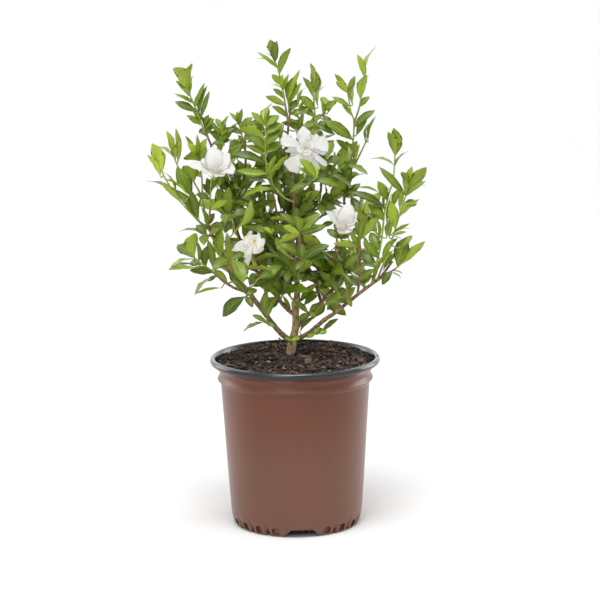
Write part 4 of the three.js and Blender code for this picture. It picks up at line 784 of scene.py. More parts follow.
def anther_paint():
    paint = Paint("anther", 0.75, 0.2)
    grain = paint.range(paint.noise(1500, 3), 0.35, 0.65)
    paint.colour(paint.mix(grain, "d6a228", "f2cb52"))
    paint.bump(grain, 0.5, 0.15)
    return paint.material


def scrap_paint():
    paint = Paint("dry_scale", 0.7, 0.3)
    grain = paint.noise(500, 4)
    paint.colour(paint.blend(grain, 0.35, 0.65, "67392a", "ad6c42"))
    paint.bump(grain, 0.5, 0.3)
    return paint.material


def soil_paint():
    paint = Paint("potting_mix", 0.9, 0.25)
    grain = paint.noise(520, 8)
    clod = paint.noise(190, 6)
    # Partly the mix's own dark and light bits, partly painted light: the colour follows the bump,
    # so its hollows are painted near black shade and its raised grains get a painted highlight.
    colour = paint.blend(clod, 0.4, 0.6, "0d0907", "40312a")
    colour = paint.blend(grain, 0.54, 0.68, colour, "92806f", 0.9)
    paint.colour(paint.blend(paint.noise(900, 3), 0.7, 0.77, colour, "a8927c", 0.6))
    paint.bump(paint.plus(grain, clod), 1.0, 2.6)
    return paint.material


def crumb_paint():
    paint = Paint("soil_crumb", 0.85, 0.3)
    age = paint.tone()[0]
    grain = paint.noise(600, 5)
    dark = paint.blend(grain, 0.35, 0.65, "0d0908", "3b2e28")
    chip = paint.blend(grain, 0.35, 0.65, "46342b", "86705f")
    pale = paint.blend(grain, 0.3, 0.7, "a38a6a", "dccbb0")
    paint.colour(paint.blend(age, 0.65, 0.8, paint.blend(age, 0.25, 0.45, dark, chip), pale))
    paint.bump(grain, 0.9, 0.9)
    return paint.material


def pot_paint():
    paint = Paint("pot_outside", 0.38)
    height = paint.height()
    cloud = paint.noise(9, 3)
    speck = paint.noise(1100, 3)
    low = paint.blend(cloud, 0.3, 0.7, "663e2c", "6c4330")
    high = paint.blend(cloud, 0.3, 0.7, "612e16", "67331a")
    colour = paint.blend(height, 0.08, 0.19, low, high)
    colour = paint.blend(speck, 0.64, 0.75, colour, "866050", 0.14)
    dust = paint.times(paint.range(height, 0.002, 0.02, 0.25, 0), paint.noise(120, 4))
    paint.colour(paint.mix(dust, colour, "8d7666"))
    paint.set("Roughness", paint.range(cloud, 0.3, 0.7, 0.29, 0.35))
    paint.bump(speck, 0.03, 0.2)
    return paint.material


def black_paint(name, dark, light):
    paint = Paint(name, 0.3)
    scuff = paint.noise(60, 3)
    paint.colour(paint.blend(scuff, 0.4, 0.7, dark, light))
    paint.set("Roughness", paint.range(scuff, 0.35, 0.7, 0.15, 0.24))
    paint.set("Coat Weight", 0.22)
    paint.set("Coat Roughness", 0.15)
    return paint.material


GREENS = [
    leaf_paint("leaf_upper", "93ae22", "475d06", "a8bc60", (0.32, 0.42), 0.1, 0.16),
    leaf_paint("leaf_under", "a9bc3c", "809436", "b6c66c", (0.58, 0.25), 0.18, 0.2),
    stem_paint(),
]
BLADE_SLOTS = (0, 1)
STEM_SLOT = 2
BARK = bark_paint()
PETAL = petal_paint_with_painted_glow()
ANTHER = anther_paint()
SOIL = soil_paint()
CRUMB = crumb_paint()
SCRAP = scrap_paint()
POT_PAINTS = [
    pot_paint(),
    black_paint("pot_lip_and_inside", "0f1012", "191b1e"),
    # The black plastic under the arches is painted mid grey: painted light that stands in for the
    # floor's light seen in the arches.
    black_paint("pot_underside_painted_floor_light", "3c4145", "4a4f53"),
]
LIP_SLOT = 1
PAINTED_LIGHT_UNDER_SLOT = 2


# Leafy shoots.


def leaf_outline(t):
    """How wide a leaf is, as a share: a short stalk, then a long ellipse to a point."""
    s = clamp((t - LEAF_STALK_SHARE) / (1 - LEAF_STALK_SHARE))
    return math.sin(math.pi * s ** 1.06) ** 0.78 if 0 < s < 1 else 0


def add_leaf(bm, root, tip, upper, width, arch, fold, age, seed):
    chance = draw(seed * 1.7 + 0.3)
    along = (tip - root).normalized()
    form = (
        LEAF_ROWS, LEAF_COLUMNS, LEAF_THICKNESS * MM, LEAF_STALK * MM,
        LEAF_BEND * (2 * draw(seed + 5.1) - 1), LEAF_RIPPLE, LEAF_RIPPLES + draw(seed + 2.2),
        LEAF_CURL, chance,
    )
    add_blade(bm, root - along * MM, tip, upper, width * LEAF_WIDENING * MM, arch, fold,
              leaf_outline, form, marked(age, chance), BLADE_SLOTS)


def root_on_stem(stems, across, up):
    """The nearest place on the shoot's stems to a place seen across and up."""
    best, best_distance = None, math.inf
    for stem in stems:
        for a, b in zip(stem, stem[1:]):
            run = [q - p for p, q in zip(a, b)]
            share = ((across - a[0]) * run[0] + (up - a[1]) * run[1]) / (run[0] ** 2 + run[1] ** 2)
            place = [p + r * clamp(share) for p, r in zip(a, run)]
            distance = math.hypot(place[0] - across, place[1] - up)
            if distance < best_distance:
                best, best_distance = place, distance
    return best


def upper_side(root, tip, turn):
    """The upper side of a leaf: turned from the eye by its kind's angle, and to the light."""
    along = (tip - root).normalized()
    to_eye = square_to(EYE * MM - root, along)
    turns = [Matrix.Rotation(math.radians(angle), 3, along) @ to_eye for angle in (turn, -turn)]
    return max(turns, key=lambda way: way.z)


def tree_of(corners):
    tree = KDTree(len(corners))
    for i, corner in enumerate(corners):
        tree.insert(corner, i)
    tree.balance()
    return tree


CORNERS = {name: [vertex.co for vertex in node.data.vertices]
           for name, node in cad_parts.items()
           if name not in ("pot", "potting_mix", "woody_frame")}
SOLIDS = {name: tree_of(corners) for name, corners in CORNERS.items()}
CROWD = tree_of(sum(CORNERS.values(), []))


def grown(node, root, tip_at):
    """The tip and size that the leaf has in its solid, or nothing where it was left out."""
    for scale in LEAF_SCALES:
        for swing in LEAF_SWINGS:
            tip = root.lerp(tip_at(swing), scale)
            if SOLIDS[node].find(tip)[2] < TIP_TOLERANCE:
                return tip, scale
    return None


def measured_leaf(bm, node, stems, row, seed):
    kind, from_across, from_up, across, up, width = row
    turn, arch, fold, age = KINDS[kind]
    start = root_on_stem(stems, from_across, from_up)
    length = math.hypot(across - start[0], up - start[1])
    if kind == "T":
        full, wide = length * EDGE_ON_LENGTHENING, length * EDGE_ON_WIDTH_SHARE
    else:
        full, wide = width * LEAF_LENGTH_PER_WIDTH, width / abs(math.cos(math.radians(turn)))
    depth = min(math.sqrt(max(full ** 2 - length ** 2, 0)), LONGEST_REACH)
    goes_back = (kind != "P") == (up > start[1])
    back = start[2] + (depth if goes_back else -depth)
    root = seen(start)
    found = grown(node, root, lambda swing: seen([across, up, back + swing]))
    if found:
        tip, scale = found
        high = fade(up, *YOUNG_HEIGHTS)
        age = clamp(age - (YOUNG_SHARE * high if kind in "DT" else 0)
                    + 0.16 * (draw(seed + 9.3) - 0.5))
        add_leaf(bm, root, tip, upper_side(root, tip, turn), wide * scale, arch, fold, age, seed)


def paired_leaf(bm, node, spray, index, seed):
    """A leaf of a spray, and whether there was one in the solid or room for it."""
    (pairs, length, first_turn), *stem = spray
    pair = index // 2
    share = (pair + 1) / pairs
    last = len(stem) - 1
    spot = min(math.floor(share * last), last - 1)
    t = share * last - spot
    start = [p + (q - p) * t for p, q in zip(stem[spot], stem[spot + 1])]
    along = (seen(stem[last]) - seen(stem[0])).normalized()
    across = (Vector((0, 0, 1)) - along * along.z).normalized()
    jitter = (draw(first_turn * 31 + index * 7) - 0.5) * PAIR_JITTER
    turn = first_turn + pair * 90 + (index % 2) * 180 + jitter
    across = Matrix.Rotation(math.radians(turn), 3, along) @ across
    lean = math.radians(PAIR_LEAN - PAIR_LEAN_FALL * pair + jitter)
    way = along * math.cos(lean) + across * math.sin(lean)
    size = length * (LEAST_SIZE + SIZE_SPREAD * draw(first_turn * 17 + index * 3))
    root = seen(start)
    tip = root + way * size * MM
    if node:
        found = grown(node, root, lambda swing: tip + along * swing * MM)
    else:
        found = (tip, 1) if is_free(root, tip) else None
    if not found:
        return False
    width = size * PAIRED_LEAF_WIDTH_SHARE * found[1]
    age = 0.62 + 0.35 * draw(seed + 4.4) - 0.12 * pair
    add_leaf(bm, root, found[0], along, width, PLAIN_ARCH, PLAIN_FOLD, age, seed)
    return True


def add_stem(bm, stem, brown):
    """A green stem, brown where it leaves the wood, ending in a pointed bud."""
    path = [seen(point) for point in stem]
    way = (path[-1] - path[-2]).normalized()
    path.append(path[-1] + way * BUD_LENGTH * MM)
    steps = len(path) - 1
    total = length_of(path)

    def radius(share):
        r = SHOOT_RADIUS[0] + (SHOOT_RADIUS[1] - SHOOT_RADIUS[0]) * share
        bud = clamp((share * steps - (steps - 1)))
        return MM * r * (1 + 0.25 * math.sin(math.pi * bud)) * (1 - 0.85 * bud ** 2)

    def tone(share, v):
        return (fade(share * total, brown * 0.3, brown), 0.5, share, v)

    add_tube(bm, path, radius, STEM_SIDES, tone, slot=STEM_SLOT)


def add_shoot(name, plan):
    bm = new_mesh()
    for stem in plan["stem"]:
        add_stem(bm, stem, SHOOT_BROWN)
    for spray in plan["spray"]:
        add_stem(bm, spray[1:], SPRAY_BROWN)
    seed = sum(map(ord, name)) * 0.37
    for i, row in enumerate(plan["leaves"]):
        measured_leaf(bm, name, plan["stem"], row, seed + i * 3.1)
    for i, spray in enumerate(plan["spray"]):
        for index in range(2 * spray[0][0]):
            paired_leaf(bm, name, spray, index, seed + i * 17.3 + index * 2.3)
    bloom = name.removesuffix("_shoot")
    if bloom in BLOOMS:
        add_calyx(bm, bloom, plan["stem"][0][-1])
    finished(bm, name + "_foliage", [name], GREENS)


# Inner sprays: short shoots on the wood, with the leaves that fill the inside of the bush.
BUSH_HEART = Vector((-8, 18, 428))
BUSH_REACH = Vector((124, 96, 124))
BUSH_FRONT = -38
BUSH_FOOT = 300
SPRAY_STEP = 22
SPRAY_TURN = 137.5
SPRAY_LENGTH = (20, 18)
SPRAY_LEAF = (36, 10)
SPRAY_RISE = 0.75
LEAF_ROOM = 2.5 * MM
BLOOM_ROOM = {"big_bloom": 36, "left_bloom": 34, "right_bloom": 28, "low_bloom": 27}
BLOOM_FRONT = 12
# Openings that show the light through the bush: across, up and reach.
OPENINGS = [(59, 500, 17), (44, 395, 15), (-98, 421, 10), (62, 512, 12)]


def is_free(root, tip):
    """Whether a leaf keeps inside the bush, off other leaves and out of the blooms' way."""
    for place in [root.lerp(tip, share) for share in (0.4, 0.7, 1)]:
        from_heart = place / MM - BUSH_HEART
        if sum((d / r) ** 2 for d, r in zip(from_heart, BUSH_REACH)) > 1:
            return False
        if place.y < BUSH_FRONT * MM or CROWD.find(place)[2] < LEAF_ROOM:
            return False
        across, up, back = shown(place)
        if any(math.hypot(across - x, up - z) < reach for x, z, reach in OPENINGS):
            return False
        for bloom, room in BLOOM_ROOM.items():
            x, z, y = BLOOMS[bloom]["heart"][0]
            if back < y + BLOOM_FRONT and math.hypot(across - x, up - z) < room:
                return False
    return True


def add_inner_sprays(number, name):
    bm = new_mesh()
    path = smoothed([seen(point) for point in LIMBS[name]["path"]])
    walked = SPRAY_STEP * draw(number + 0.7)
    count = grew = 0
    for (here, _), (there, _) in zip(path, path[1:]):
        walked += (there - here).length / MM
        if walked < SPRAY_STEP or there.z < BUSH_FOOT * MM:
            continue
        walked = 0
        count += 1
        seed = number * 41.7 + count * 7.9
        angle = math.radians(SPRAY_TURN * count + 50 * number)
        way = Vector((math.cos(angle), math.sin(angle), SPRAY_RISE)).normalized()
        length = (SPRAY_LENGTH[0] + SPRAY_LENGTH[1] * draw(seed)) * MM
        bow = Vector((0, 0, 0.12 * length))
        stem = [shown(there), shown(there + way * length * 0.5 - bow), shown(there + way * length)]
        pairs = 2 + round(draw(seed + 1.3))
        size = SPRAY_LEAF[0] + SPRAY_LEAF[1] * draw(seed + 2.9)
        spray = [(pairs, size, 90 * draw(seed + 5.7)), *stem]
        if any([paired_leaf(bm, None, spray, i, seed + i * 2.3) for i in range(2 * pairs)]):
            add_stem(bm, stem, INNER_SPRAY_BROWN)
            grew += 1
    if grew:
        finished(bm, name + "_inner_sprays", [], GREENS)


# Single leaves.
TWIG_RADIUS = (1, 0.8)
TWIG_SIDES = 6
TWIG_LEAST = 3 * MM
TWIG_AGE = 0.7


def add_single_leaves():
    """Leaves between the shoots, each on a short twig from the nearest stem."""
    bm = new_mesh()
    lines = [stem for plan in SHOOTS.values() for stem in plan["stem"]]
    lines += [limb["path"] for limb in LIMBS.values()]
    for i, (from_across, from_up, across, up, width, age) in enumerate(SINGLE_LEAVES):
        start = root_on_stem(lines, from_across, from_up)
        root = seen([from_across, from_up, start[2]])
        foot = seen(start)
        if (root - foot).length > TWIG_LEAST:
            bow = Vector((0, 0, -0.1)) * (root - foot).length
            add_tube(bm, [foot, foot.lerp(root, 0.5) + bow, root], tapered(TWIG_RADIUS),
                     TWIG_SIDES, marked(TWIG_AGE), slot=STEM_SLOT)
        tip = seen([across, up, start[2] + 12 * (draw(i + 0.4) - 0.5)])
        turn = 15 + 45 * draw(i + 0.8)
        if draw(i + 0.6) > 0.7:
            turn = 180 - turn
        add_leaf(bm, root, tip, upper_side(root, tip, turn), width, PLAIN_ARCH, PLAIN_FOLD, age,
                 90 + i * 3.7)
    finished(bm, "single_leaves", [], GREENS)


# Blooms, with places along the bloom's axis counted from its heart.
PETAL_ROWS = 12
PETAL_COLUMNS = 8
PETAL_THICKNESS = 0.55
PETAL_STALK = 1.2
PETAL_BEND = 0.03
PETAL_RIPPLE = 0.15
PETAL_RIPPLES = 1.8
PETAL_ROOT_RADIUS = 1.9
# The arch, fold and curl of a petal, how far out it is widest, and how blunt its end is.
PETAL_FORMS = {
    "pointed": (0.08, 0.12, 0.05, 1.0, 0.95),
    "square": (0.1, 0.1, 0.08, 2.3, 0.45),
    "fan": (0.1, 0.1, 0.06, 3.6, 0.42),
    "round": (0.1, 0.16, 0.05, 1.6, 0.48),
    "strip": (0.06, 0.3, 0.04, 2.2, 0.28),
    "dome": (0.26, -0.34, 0.1, 0.86, 0.5),
    "cupped": (0.06, 0.2, 0.1, 1.5, 0.5),
}
# A bloom's age warms its colour and also raises its painted glow; the low bloom, deep in the bush's
# shade, is oldest so that it glows most.
BLOOM_AGES_AND_GLOW = {"big_bloom": 0.1, "left_bloom": 0.15, "right_bloom": 0.2, "low_bloom": 0.6}
INNER_PETAL_START = 0.6
TUBE_FOOT = -3.6
TUBE_MOUTH = 2.2
TUBE_RADIUS = (2.7, 3.4)
TUBE_SIDES = 24
STAMEN_FOOT = 1.6
STAMEN_TIP = 7.6
STAMEN_COUNT = 6
STAMEN_RADIUS = 0.42
STAMEN_SIDES = 8
STYLE_RADIUS = 0.75
STYLE_SIDES = 12
CALYX_FOOT = -10
CALYX_TOP = -4
CALYX_RADIUS = (1.9, 3.1)
CALYX_SIDES = 16
BLOOM_STALK_RADIUS = (1.3, 1.9)
BLOOM_STALK_SIDES = 10
SEPAL_COUNT = 6
SEPAL_LENGTH = 8
SEPAL_WIDTH = 1.8


def bloom_axis(name):
    """The way a bloom faces, and a function for places along it from its heart."""
    heart = seen(BLOOMS[name]["heart"][0])
    axis = Vector(BLOOMS[name]["faces"][0]).normalized()
    return axis, lambda distance: heart + axis * distance * MM


def sideways(axis, degrees):
    start = square_to(Vector((1, 0, 0)), axis)
    return Matrix.Rotation(math.radians(degrees), 3, axis) @ start


def add_petal(bm, root, tip, axis, width, petal_form, age, seed):
    arch, fold, curl, bulge, blunt = PETAL_FORMS[petal_form]
    chance = draw(seed * 1.3 + 0.7)

    def petal_outline(t):
        return math.sin(math.pi * t ** bulge) ** blunt if 0 < t < 1 else 0

    form = (
        PETAL_ROWS, PETAL_COLUMNS, PETAL_THICKNESS * MM, PETAL_STALK * MM,
        PETAL_BEND * (2 * draw(seed + 5.1) - 1), PETAL_RIPPLE, PETAL_RIPPLES + draw(seed + 2.2),
        curl, chance,
    )
    add_blade(bm, root, tip, axis, width * MM, arch, fold, petal_outline, form,
              marked(age, chance), (0, 0))


def add_corolla(name, age):
    plan = BLOOMS[name]
    axis, at = bloom_axis(name)
    heart = at(0)
    bm = new_mesh()
    add_tube(bm, [at(TUBE_FOOT), heart, at(TUBE_MOUTH)], tapered(TUBE_RADIUS), TUBE_SIDES,
             lambda t, v: (age, 0.5, 0.1, v))
    for i, (across, up, behind, width, petal_form) in enumerate(plan["petals"]):
        tip = seen([across, up, plan["heart"][0][2] + behind])
        root = heart + square_to(tip - heart, axis) * PETAL_ROOT_RADIUS * MM
        add_petal(bm, root, tip, axis, width, petal_form, age, i * 2.9 + len(name))
    for ring, (count, length, lean, width, first) in enumerate(plan["rings"]):
        for i in range(count):
            out = sideways(axis, first + 360 * i / count)
            angle = math.radians(lean)
            way = axis * math.cos(angle) + out * math.sin(angle)
            root = at(INNER_PETAL_START) + out * PETAL_ROOT_RADIUS * MM
            add_petal(bm, root, heart + way * length * MM, axis, width, "cupped", age,
                      50 + ring * 11.7 + i * 3.3)
    finished(bm, name + "_corolla", [name + "_petals"], [PETAL])


def add_anthers(name):
    axis, at = bloom_axis(name)
    bm = new_mesh()
    for i in range(STAMEN_COUNT):
        out = sideways(axis, 360 * i / STAMEN_COUNT)
        path = [at(STAMEN_FOOT) + out * 0.9 * MM, at(4.4) + out * 1.25 * MM,
                at(STAMEN_TIP - 0.6 * draw(i + 0.5)) + out * (1.0 + 0.5 * draw(i + 1.5)) * MM]
        add_tube(bm, path,
                 lambda share: STAMEN_RADIUS * MM * math.sin(math.pi * (0.12 + 0.8 * share)),
                 STAMEN_SIDES, marked(0))
    add_tube(bm, [at(STAMEN_FOOT), at(4), at(STAMEN_TIP)],
             lambda share: STYLE_RADIUS * MM * (0.6 + 0.5 * fade(share, 0.3, 0.7)),
             STYLE_SIDES, marked(0))
    finished(bm, name + "_anthers", [name + "_stamens"], [ANTHER])


def add_calyx(bm, name, stalk_foot):
    """The stalk, the green cup under a bloom, and its narrow sepals."""
    axis, at = bloom_axis(name)
    last = seen(stalk_foot)
    join = at(CALYX_FOOT).lerp(at(CALYX_TOP), 0.2)
    green = marked(1.0)
    add_tube(bm, [last, last.lerp(join, 0.5), join], tapered(BLOOM_STALK_RADIUS),
             BLOOM_STALK_SIDES, green, slot=STEM_SLOT)
    add_tube(bm, [at(CALYX_FOOT), at(-7), at(CALYX_TOP)], tapered(CALYX_RADIUS), CALYX_SIDES,
             green, STEM_SLOT, relief=lambda place: 0.05 * math.sin(900 * place.x + 700 * place.y))
    for i in range(SEPAL_COUNT):
        out = sideways(axis, 360 * i / SEPAL_COUNT + 17)
        root = at(CALYX_TOP - 1.2) + out * CALYX_RADIUS[1] * 0.8 * MM
        tip = root + (axis * 0.45 + out * 0.8).normalized() * SEPAL_LENGTH * MM
        form = (6, 4, 0.5 * MM, 0.6 * MM, 0.0, 0.0, 1, 0.05, 0.5)
        add_blade(bm, root, tip, axis, SEPAL_WIDTH * MM, -0.1, 0.3, leaf_outline, form,
                  marked(0.35), BLADE_SLOTS)


# Wood.
BARK_SIDES = 14
BARK_STEPS = 7
KNOT_STEP = 17
KNOT_REACH = 1.6


def add_wood():
    bm = new_mesh()
    for limb in LIMBS.values():
        path = [seen(point) for point in limb["path"]]
        foot, end = limb["radius"][0]
        total = length_of(path) / MM
        thick = fade(foot, 2.2, 6)

        def radius(share):
            from_knot = (share * total) % KNOT_STEP - KNOT_STEP / 2
            knot = math.exp(-(from_knot / KNOT_REACH) ** 2)
            return MM * (foot + (end - foot) * share) * (1 + 0.1 * knot)

        def relief(place):
            return 0.1 * noise.fractal(place * 130, 1, 2, 3) + 0.03 * noise.noise(place * 600)

        def tone(share, v):
            return (clamp(thick * (1 - 0.7 * share)), 0.5, share, v)

        add_tube(bm, path, radius, BARK_SIDES, tone, steps=BARK_STEPS, relief=relief)
    finished(bm, "woody_frame_bark", ["woody_frame"], [BARK])


# Pot.
POT_HEIGHT = 230
WALL_FOOT_RADIUS = 89.4
FOOT_RADIUS = 81.5
WALL = 2.2
POT_SIDES = 240
FOOT_TURN = 4.6
ARCH_FOOT_WIDTH = 54
ARCH_TOP_WIDTH = 25
ARCH_HEIGHT = 11
ARCH_DEPTH = 24
ARCH_STEPS = 23
CORE_RADIUS = 80.2
CORE_HEIGHT = 60
DRAIN_COUNT = 18
DRAIN_FIRST = 23.7
DRAIN_STEP = 16.9
DRAIN_WIDTH = 10.8
DRAIN_LOW = 2.6
DRAIN_HIGH = 12.6
DRAIN_BACK = 80.7
DRAIN_ROUND = 3
CUT_PAST = 7
SHARP_FROM = 35

# Between the drainage pockets the foot is drawn in and up: how far from a pocket's middle this
# starts and ends, in degrees, how deep and how high it is, and where each fades out going up.
SCALLOP_TURNS = (6, 7.8, 9.2, 11)
SCALLOP_DEPTH = 4
SCALLOP_RISE = 5.5
DEPTH_FADE = (7, 18)
RISE_FADE = (0, 8)

# The outside of the pot from the middle of its underside up to the lip, then the black lip and
# the inside down to the floor: radius and height.
OUTSIDE = read_rows("""
    0 0, 60 0, 77 0, 80.6 0, 82.2 0.5, 83.4 1.8, 84.6 4, 85.9 7.5, 87.4 12, 88.6 18, 89.4 26,
    91.5 55, 94 95, 97 143, 99.3 178, 99.9 187, 100.3 190.4, 100 192.8, 100.2 195, 101.1 196.8,
    102.7 198.4, 104.3 199.8, 104.8 201.4, 104.1 203, 102.8 204.8, 102 207.2, 101.9 210,
    102.6 212.4, 104.1 213.9, 105 215.5, 104.8 217.3, 104.2 219.6
""")
LIP = read_rows("""
    104.2 221.1, 106.6 221.4, 110.6 221.3, 112.8 221.6, 114 222.6, 114.6 224.4, 114.6 226.4,
    114 228.2, 112.8 229.4, 111.2 230, 109.7 229.7, 108.5 228.7, 107.8 227.2, 106.3 223.6,
    103.6 218, 101.9 214.4, 101 208, 100.8 201, 98.9 195.5, 97.4 191, 87.1 26, 84 19, 78.4 13,
    75.4 8, 74.4 2.6, 40 2.6, 0 2.6
""")


def lathe(bm, profile, sides, slot, place_at=None):
    """Turns a profile of radii and heights about the pot's axis."""
    last = len(profile) - 1

    def place(t, v):
        r, z = profile[round(t * last)]
        angle = -2 * math.pi * v
        if place_at:
            r, z = place_at(r, z, angle)
        return MM * Vector((r * math.cos(angle), r * math.sin(angle), z))

    add_sheet(bm, last, sides, place, lambda t, v: (0.5, 0.5, t, v), slot)


def drain_turns():
    """The place of each drainage pocket round the pot, in degrees from the front."""
    for i in range(DRAIN_COUNT):
        side = 1 if i % 2 == 0 else -1
        yield FOOT_TURN + side * (DRAIN_FIRST + DRAIN_STEP * (i // 2))


def scallop(r, z, angle):
    """Draws the foot in between its pockets."""
    turn = math.degrees(angle) + 90
    nearest = min(abs((turn - pocket + 180) % 360 - 180) for pocket in drain_turns())
    from_arch = abs((turn - FOOT_TURN + 90) % 180 - 90)
    if from_arch < DRAIN_FIRST or r <= FOOT_RADIUS - 2:
        return r, z
    between = fade(nearest, *SCALLOP_TURNS[:2]) * (1 - fade(nearest, *SCALLOP_TURNS[2:]))
    return (r - SCALLOP_DEPTH * between * (1 - fade(z, *DEPTH_FADE)),
            z + SCALLOP_RISE * between * (1 - fade(z, *RISE_FADE)))


def scratch_object(bm):
    """A closed shape for the pot's joins and cuts."""
    bmesh.ops.remove_doubles(bm, verts=bm.verts, dist=WELD)
    bmesh.ops.recalc_face_normals(bm, faces=bm.faces)
    return placed(bm, "scratch", POT_PAINTS)


def combine(one, other, operation):
    """Joins two scratch objects, or cuts the other from the first."""
    step = one.modifiers.new("step", "BOOLEAN")
    step.object, step.operation, step.solver = other, operation, "MANIFOLD"
    mesh = bpy.data.meshes.new_from_object(one.evaluated_get(bpy.context.evaluated_depsgraph_get()))
    one.modifiers.clear()
    one.data = mesh
    bpy.data.objects.remove(other)
    return one


def arch_half(z):
    """Half the width of the arch at a height: its sides are drawn like a soft S."""
    rise = clamp(z / ARCH_HEIGHT)
    share = 0.5 - math.sin(math.asin(1 - 2 * rise) / 3)
    return (ARCH_FOOT_WIDTH + (ARCH_TOP_WIDTH - ARCH_FOOT_WIDTH) * share) / 2


# Gives every face the underside paint: black plastic painted lighter grey, as painted light from
# the floor.
def under_in_painted_light_grey(bm):
    for face in bm.faces:
        face.material_index = PAINTED_LIGHT_UNDER_SLOT
    return scratch_object(bm)


def channel(side, grow, foot, past):
    """The space under the pot's edge, drawn out along the radius."""
    bm = new_mesh()
    bmesh.ops.create_cube(bm, size=2)
    upright = [edge for edge in bm.edges if abs(edge.verts[0].co.z - edge.verts[1].co.z) > 1]
    bmesh.ops.subdivide_edges(bm, edges=upright, cuts=ARCH_STEPS, use_grid_fill=True)
    for vert in bm.verts:
        z = foot + (ARCH_HEIGHT + grow - foot) * (vert.co.z + 1) / 2
        y = -FOOT_RADIUS - past if vert.co.y < 0 else ARCH_DEPTH + grow - FOOT_RADIUS
        vert.co = Vector(((arch_half(z - grow) + grow) * vert.co.x, y, z)) * MM
    turn = Matrix.Rotation(math.radians(FOOT_TURN + side), 4, "Z")
    bmesh.ops.transform(bm, matrix=turn, verts=bm.verts)
    return under_in_painted_light_grey(bm)


def core():
    """What lies inside the middle of the pot's wall at its foot."""
    bm = new_mesh()
    bmesh.ops.create_cone(bm, cap_ends=True, segments=POT_SIDES, radius1=CORE_RADIUS * MM,
                          radius2=CORE_RADIUS * MM, depth=CORE_HEIGHT * MM)
    return under_in_painted_light_grey(bm)


def drains():
    """The drainage pockets, as one object to cut with: boxes with their long edges rounded."""
    bm = new_mesh()
    deep = 2 * (WALL_FOOT_RADIUS - DRAIN_BACK)
    size = Vector((DRAIN_WIDTH, deep, DRAIN_HIGH - DRAIN_LOW)) * MM
    middle = Vector((0, -WALL_FOOT_RADIUS, (DRAIN_LOW + DRAIN_HIGH) / 2)) * MM
    for turn in drain_turns():
        old = set(bm.verts)
        box = bmesh.ops.create_cube(bm, size=1)["verts"]
        bmesh.ops.scale(bm, vec=size, verts=box)
        edges = dict.fromkeys(edge for vert in box for edge in vert.link_edges)
        long = [edge for edge in edges if abs(edge.verts[0].co.y - edge.verts[1].co.y) > 5 * MM]
        bmesh.ops.bevel(bm, geom=long, offset=DRAIN_ROUND * MM, segments=4, profile=0.5,
                        affect="EDGES", material=-1)
        box = [vert for vert in bm.verts if vert not in old]
        bmesh.ops.translate(bm, vec=middle, verts=box)
        bmesh.ops.rotate(bm, matrix=Matrix.Rotation(math.radians(turn), 3, "Z"), verts=box)
    return scratch_object(bm)


def add_pot():
    bm = new_mesh()
    lathe(bm, OUTSIDE, POT_SIDES, 0, scallop)
    lathe(bm, [OUTSIDE[-1], *LIP], POT_SIDES, LIP_SLOT)
    pot = scratch_object(bm)
    for side in (0, 180):
        outer = channel(side, WALL, 0.2, 0)
        bridge = combine(outer, channel(side, 0, -CUT_PAST, CUT_PAST), "DIFFERENCE")
        bridge = combine(bridge, core(), "INTERSECT")
        combine(pot, channel(side, 0, -CUT_PAST, CUT_PAST), "DIFFERENCE")
        combine(pot, bridge, "UNION")
    combine(pot, drains(), "DIFFERENCE")
    pot.name = pot.data.name = "pot_shell"
    for face in pot.data.polygons:
        face.use_smooth = True
    pot.data.set_sharp_from_angle(angle=math.radians(SHARP_FROM))
    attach(pot, "root")
    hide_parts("pot")


# Potting mix.
SOIL_EDGE = 224.8
SOIL_CROWN = 5
SOIL_LUMP = 1.5
SOIL_RADIUS = 105.2
SOIL_SINK = 3
SOIL_SIDES = 320
SOIL_ROWS = 100
SOIL_BELOW = [
    (0, 2.9), (73.8, 2.9), (74.8, 8.2), (77.8, 13.4), (83.2, 19.4), (86.2, 26.5), (96.4, 190),
    (99.8, 203), (100.8, 216.5),
]
TRUNK_FOOT = (-7, 5, 8)
CRUMB_COUNT = 2400
# Crumbs whose draw is above these are chips of bark and pale beads.
CHIP_FROM = 0.66
BEAD_FROM = 0.945


def soil_height(x, y):
    share = clamp(math.hypot(x, y) / SOIL_RADIUS)
    lump = SOIL_LUMP * (math.sin(x * 0.21 + 1.3) * math.sin(y * 0.17 + 0.4)
                        + 0.5 * math.sin(x * 0.47 + y * 0.31) + 0.4 * math.sin(y * 0.53 - x * 0.11))
    rough = 3.6 * noise.noise(Vector((x, y, 3.1)) * 0.1)
    clods = 7 * (0.45 - noise.voronoi(Vector((x, y, 7.7)) * 0.17)[0][0])
    grit = 2.4 * (0.4 - noise.voronoi(Vector((x, y, 1.2)) * 0.42)[0][0])
    relief = (lump + rough + clods + grit) * (1 - share ** 12)
    dome = SOIL_CROWN * math.sqrt(1 - share ** 2) - SOIL_SINK * share ** 4
    return SOIL_EDGE + dome + relief


def add_soil():
    top = [(SOIL_RADIUS * (1 - i / SOIL_ROWS), SOIL_EDGE) for i in range(SOIL_ROWS + 1)]

    def place_at(r, z, angle):
        if z < SOIL_EDGE:
            return r, z
        x, y = r * math.cos(angle), r * math.sin(angle)
        return r, soil_height(x, y) + 1.5 * noise.noise(Vector((x, y, 1.9)) * 0.55)

    bm = new_mesh()
    lathe(bm, SOIL_BELOW + top, SOIL_SIDES, 0, place_at)
    finished(bm, "potting_mix_surface", ["potting_mix"], [SOIL])


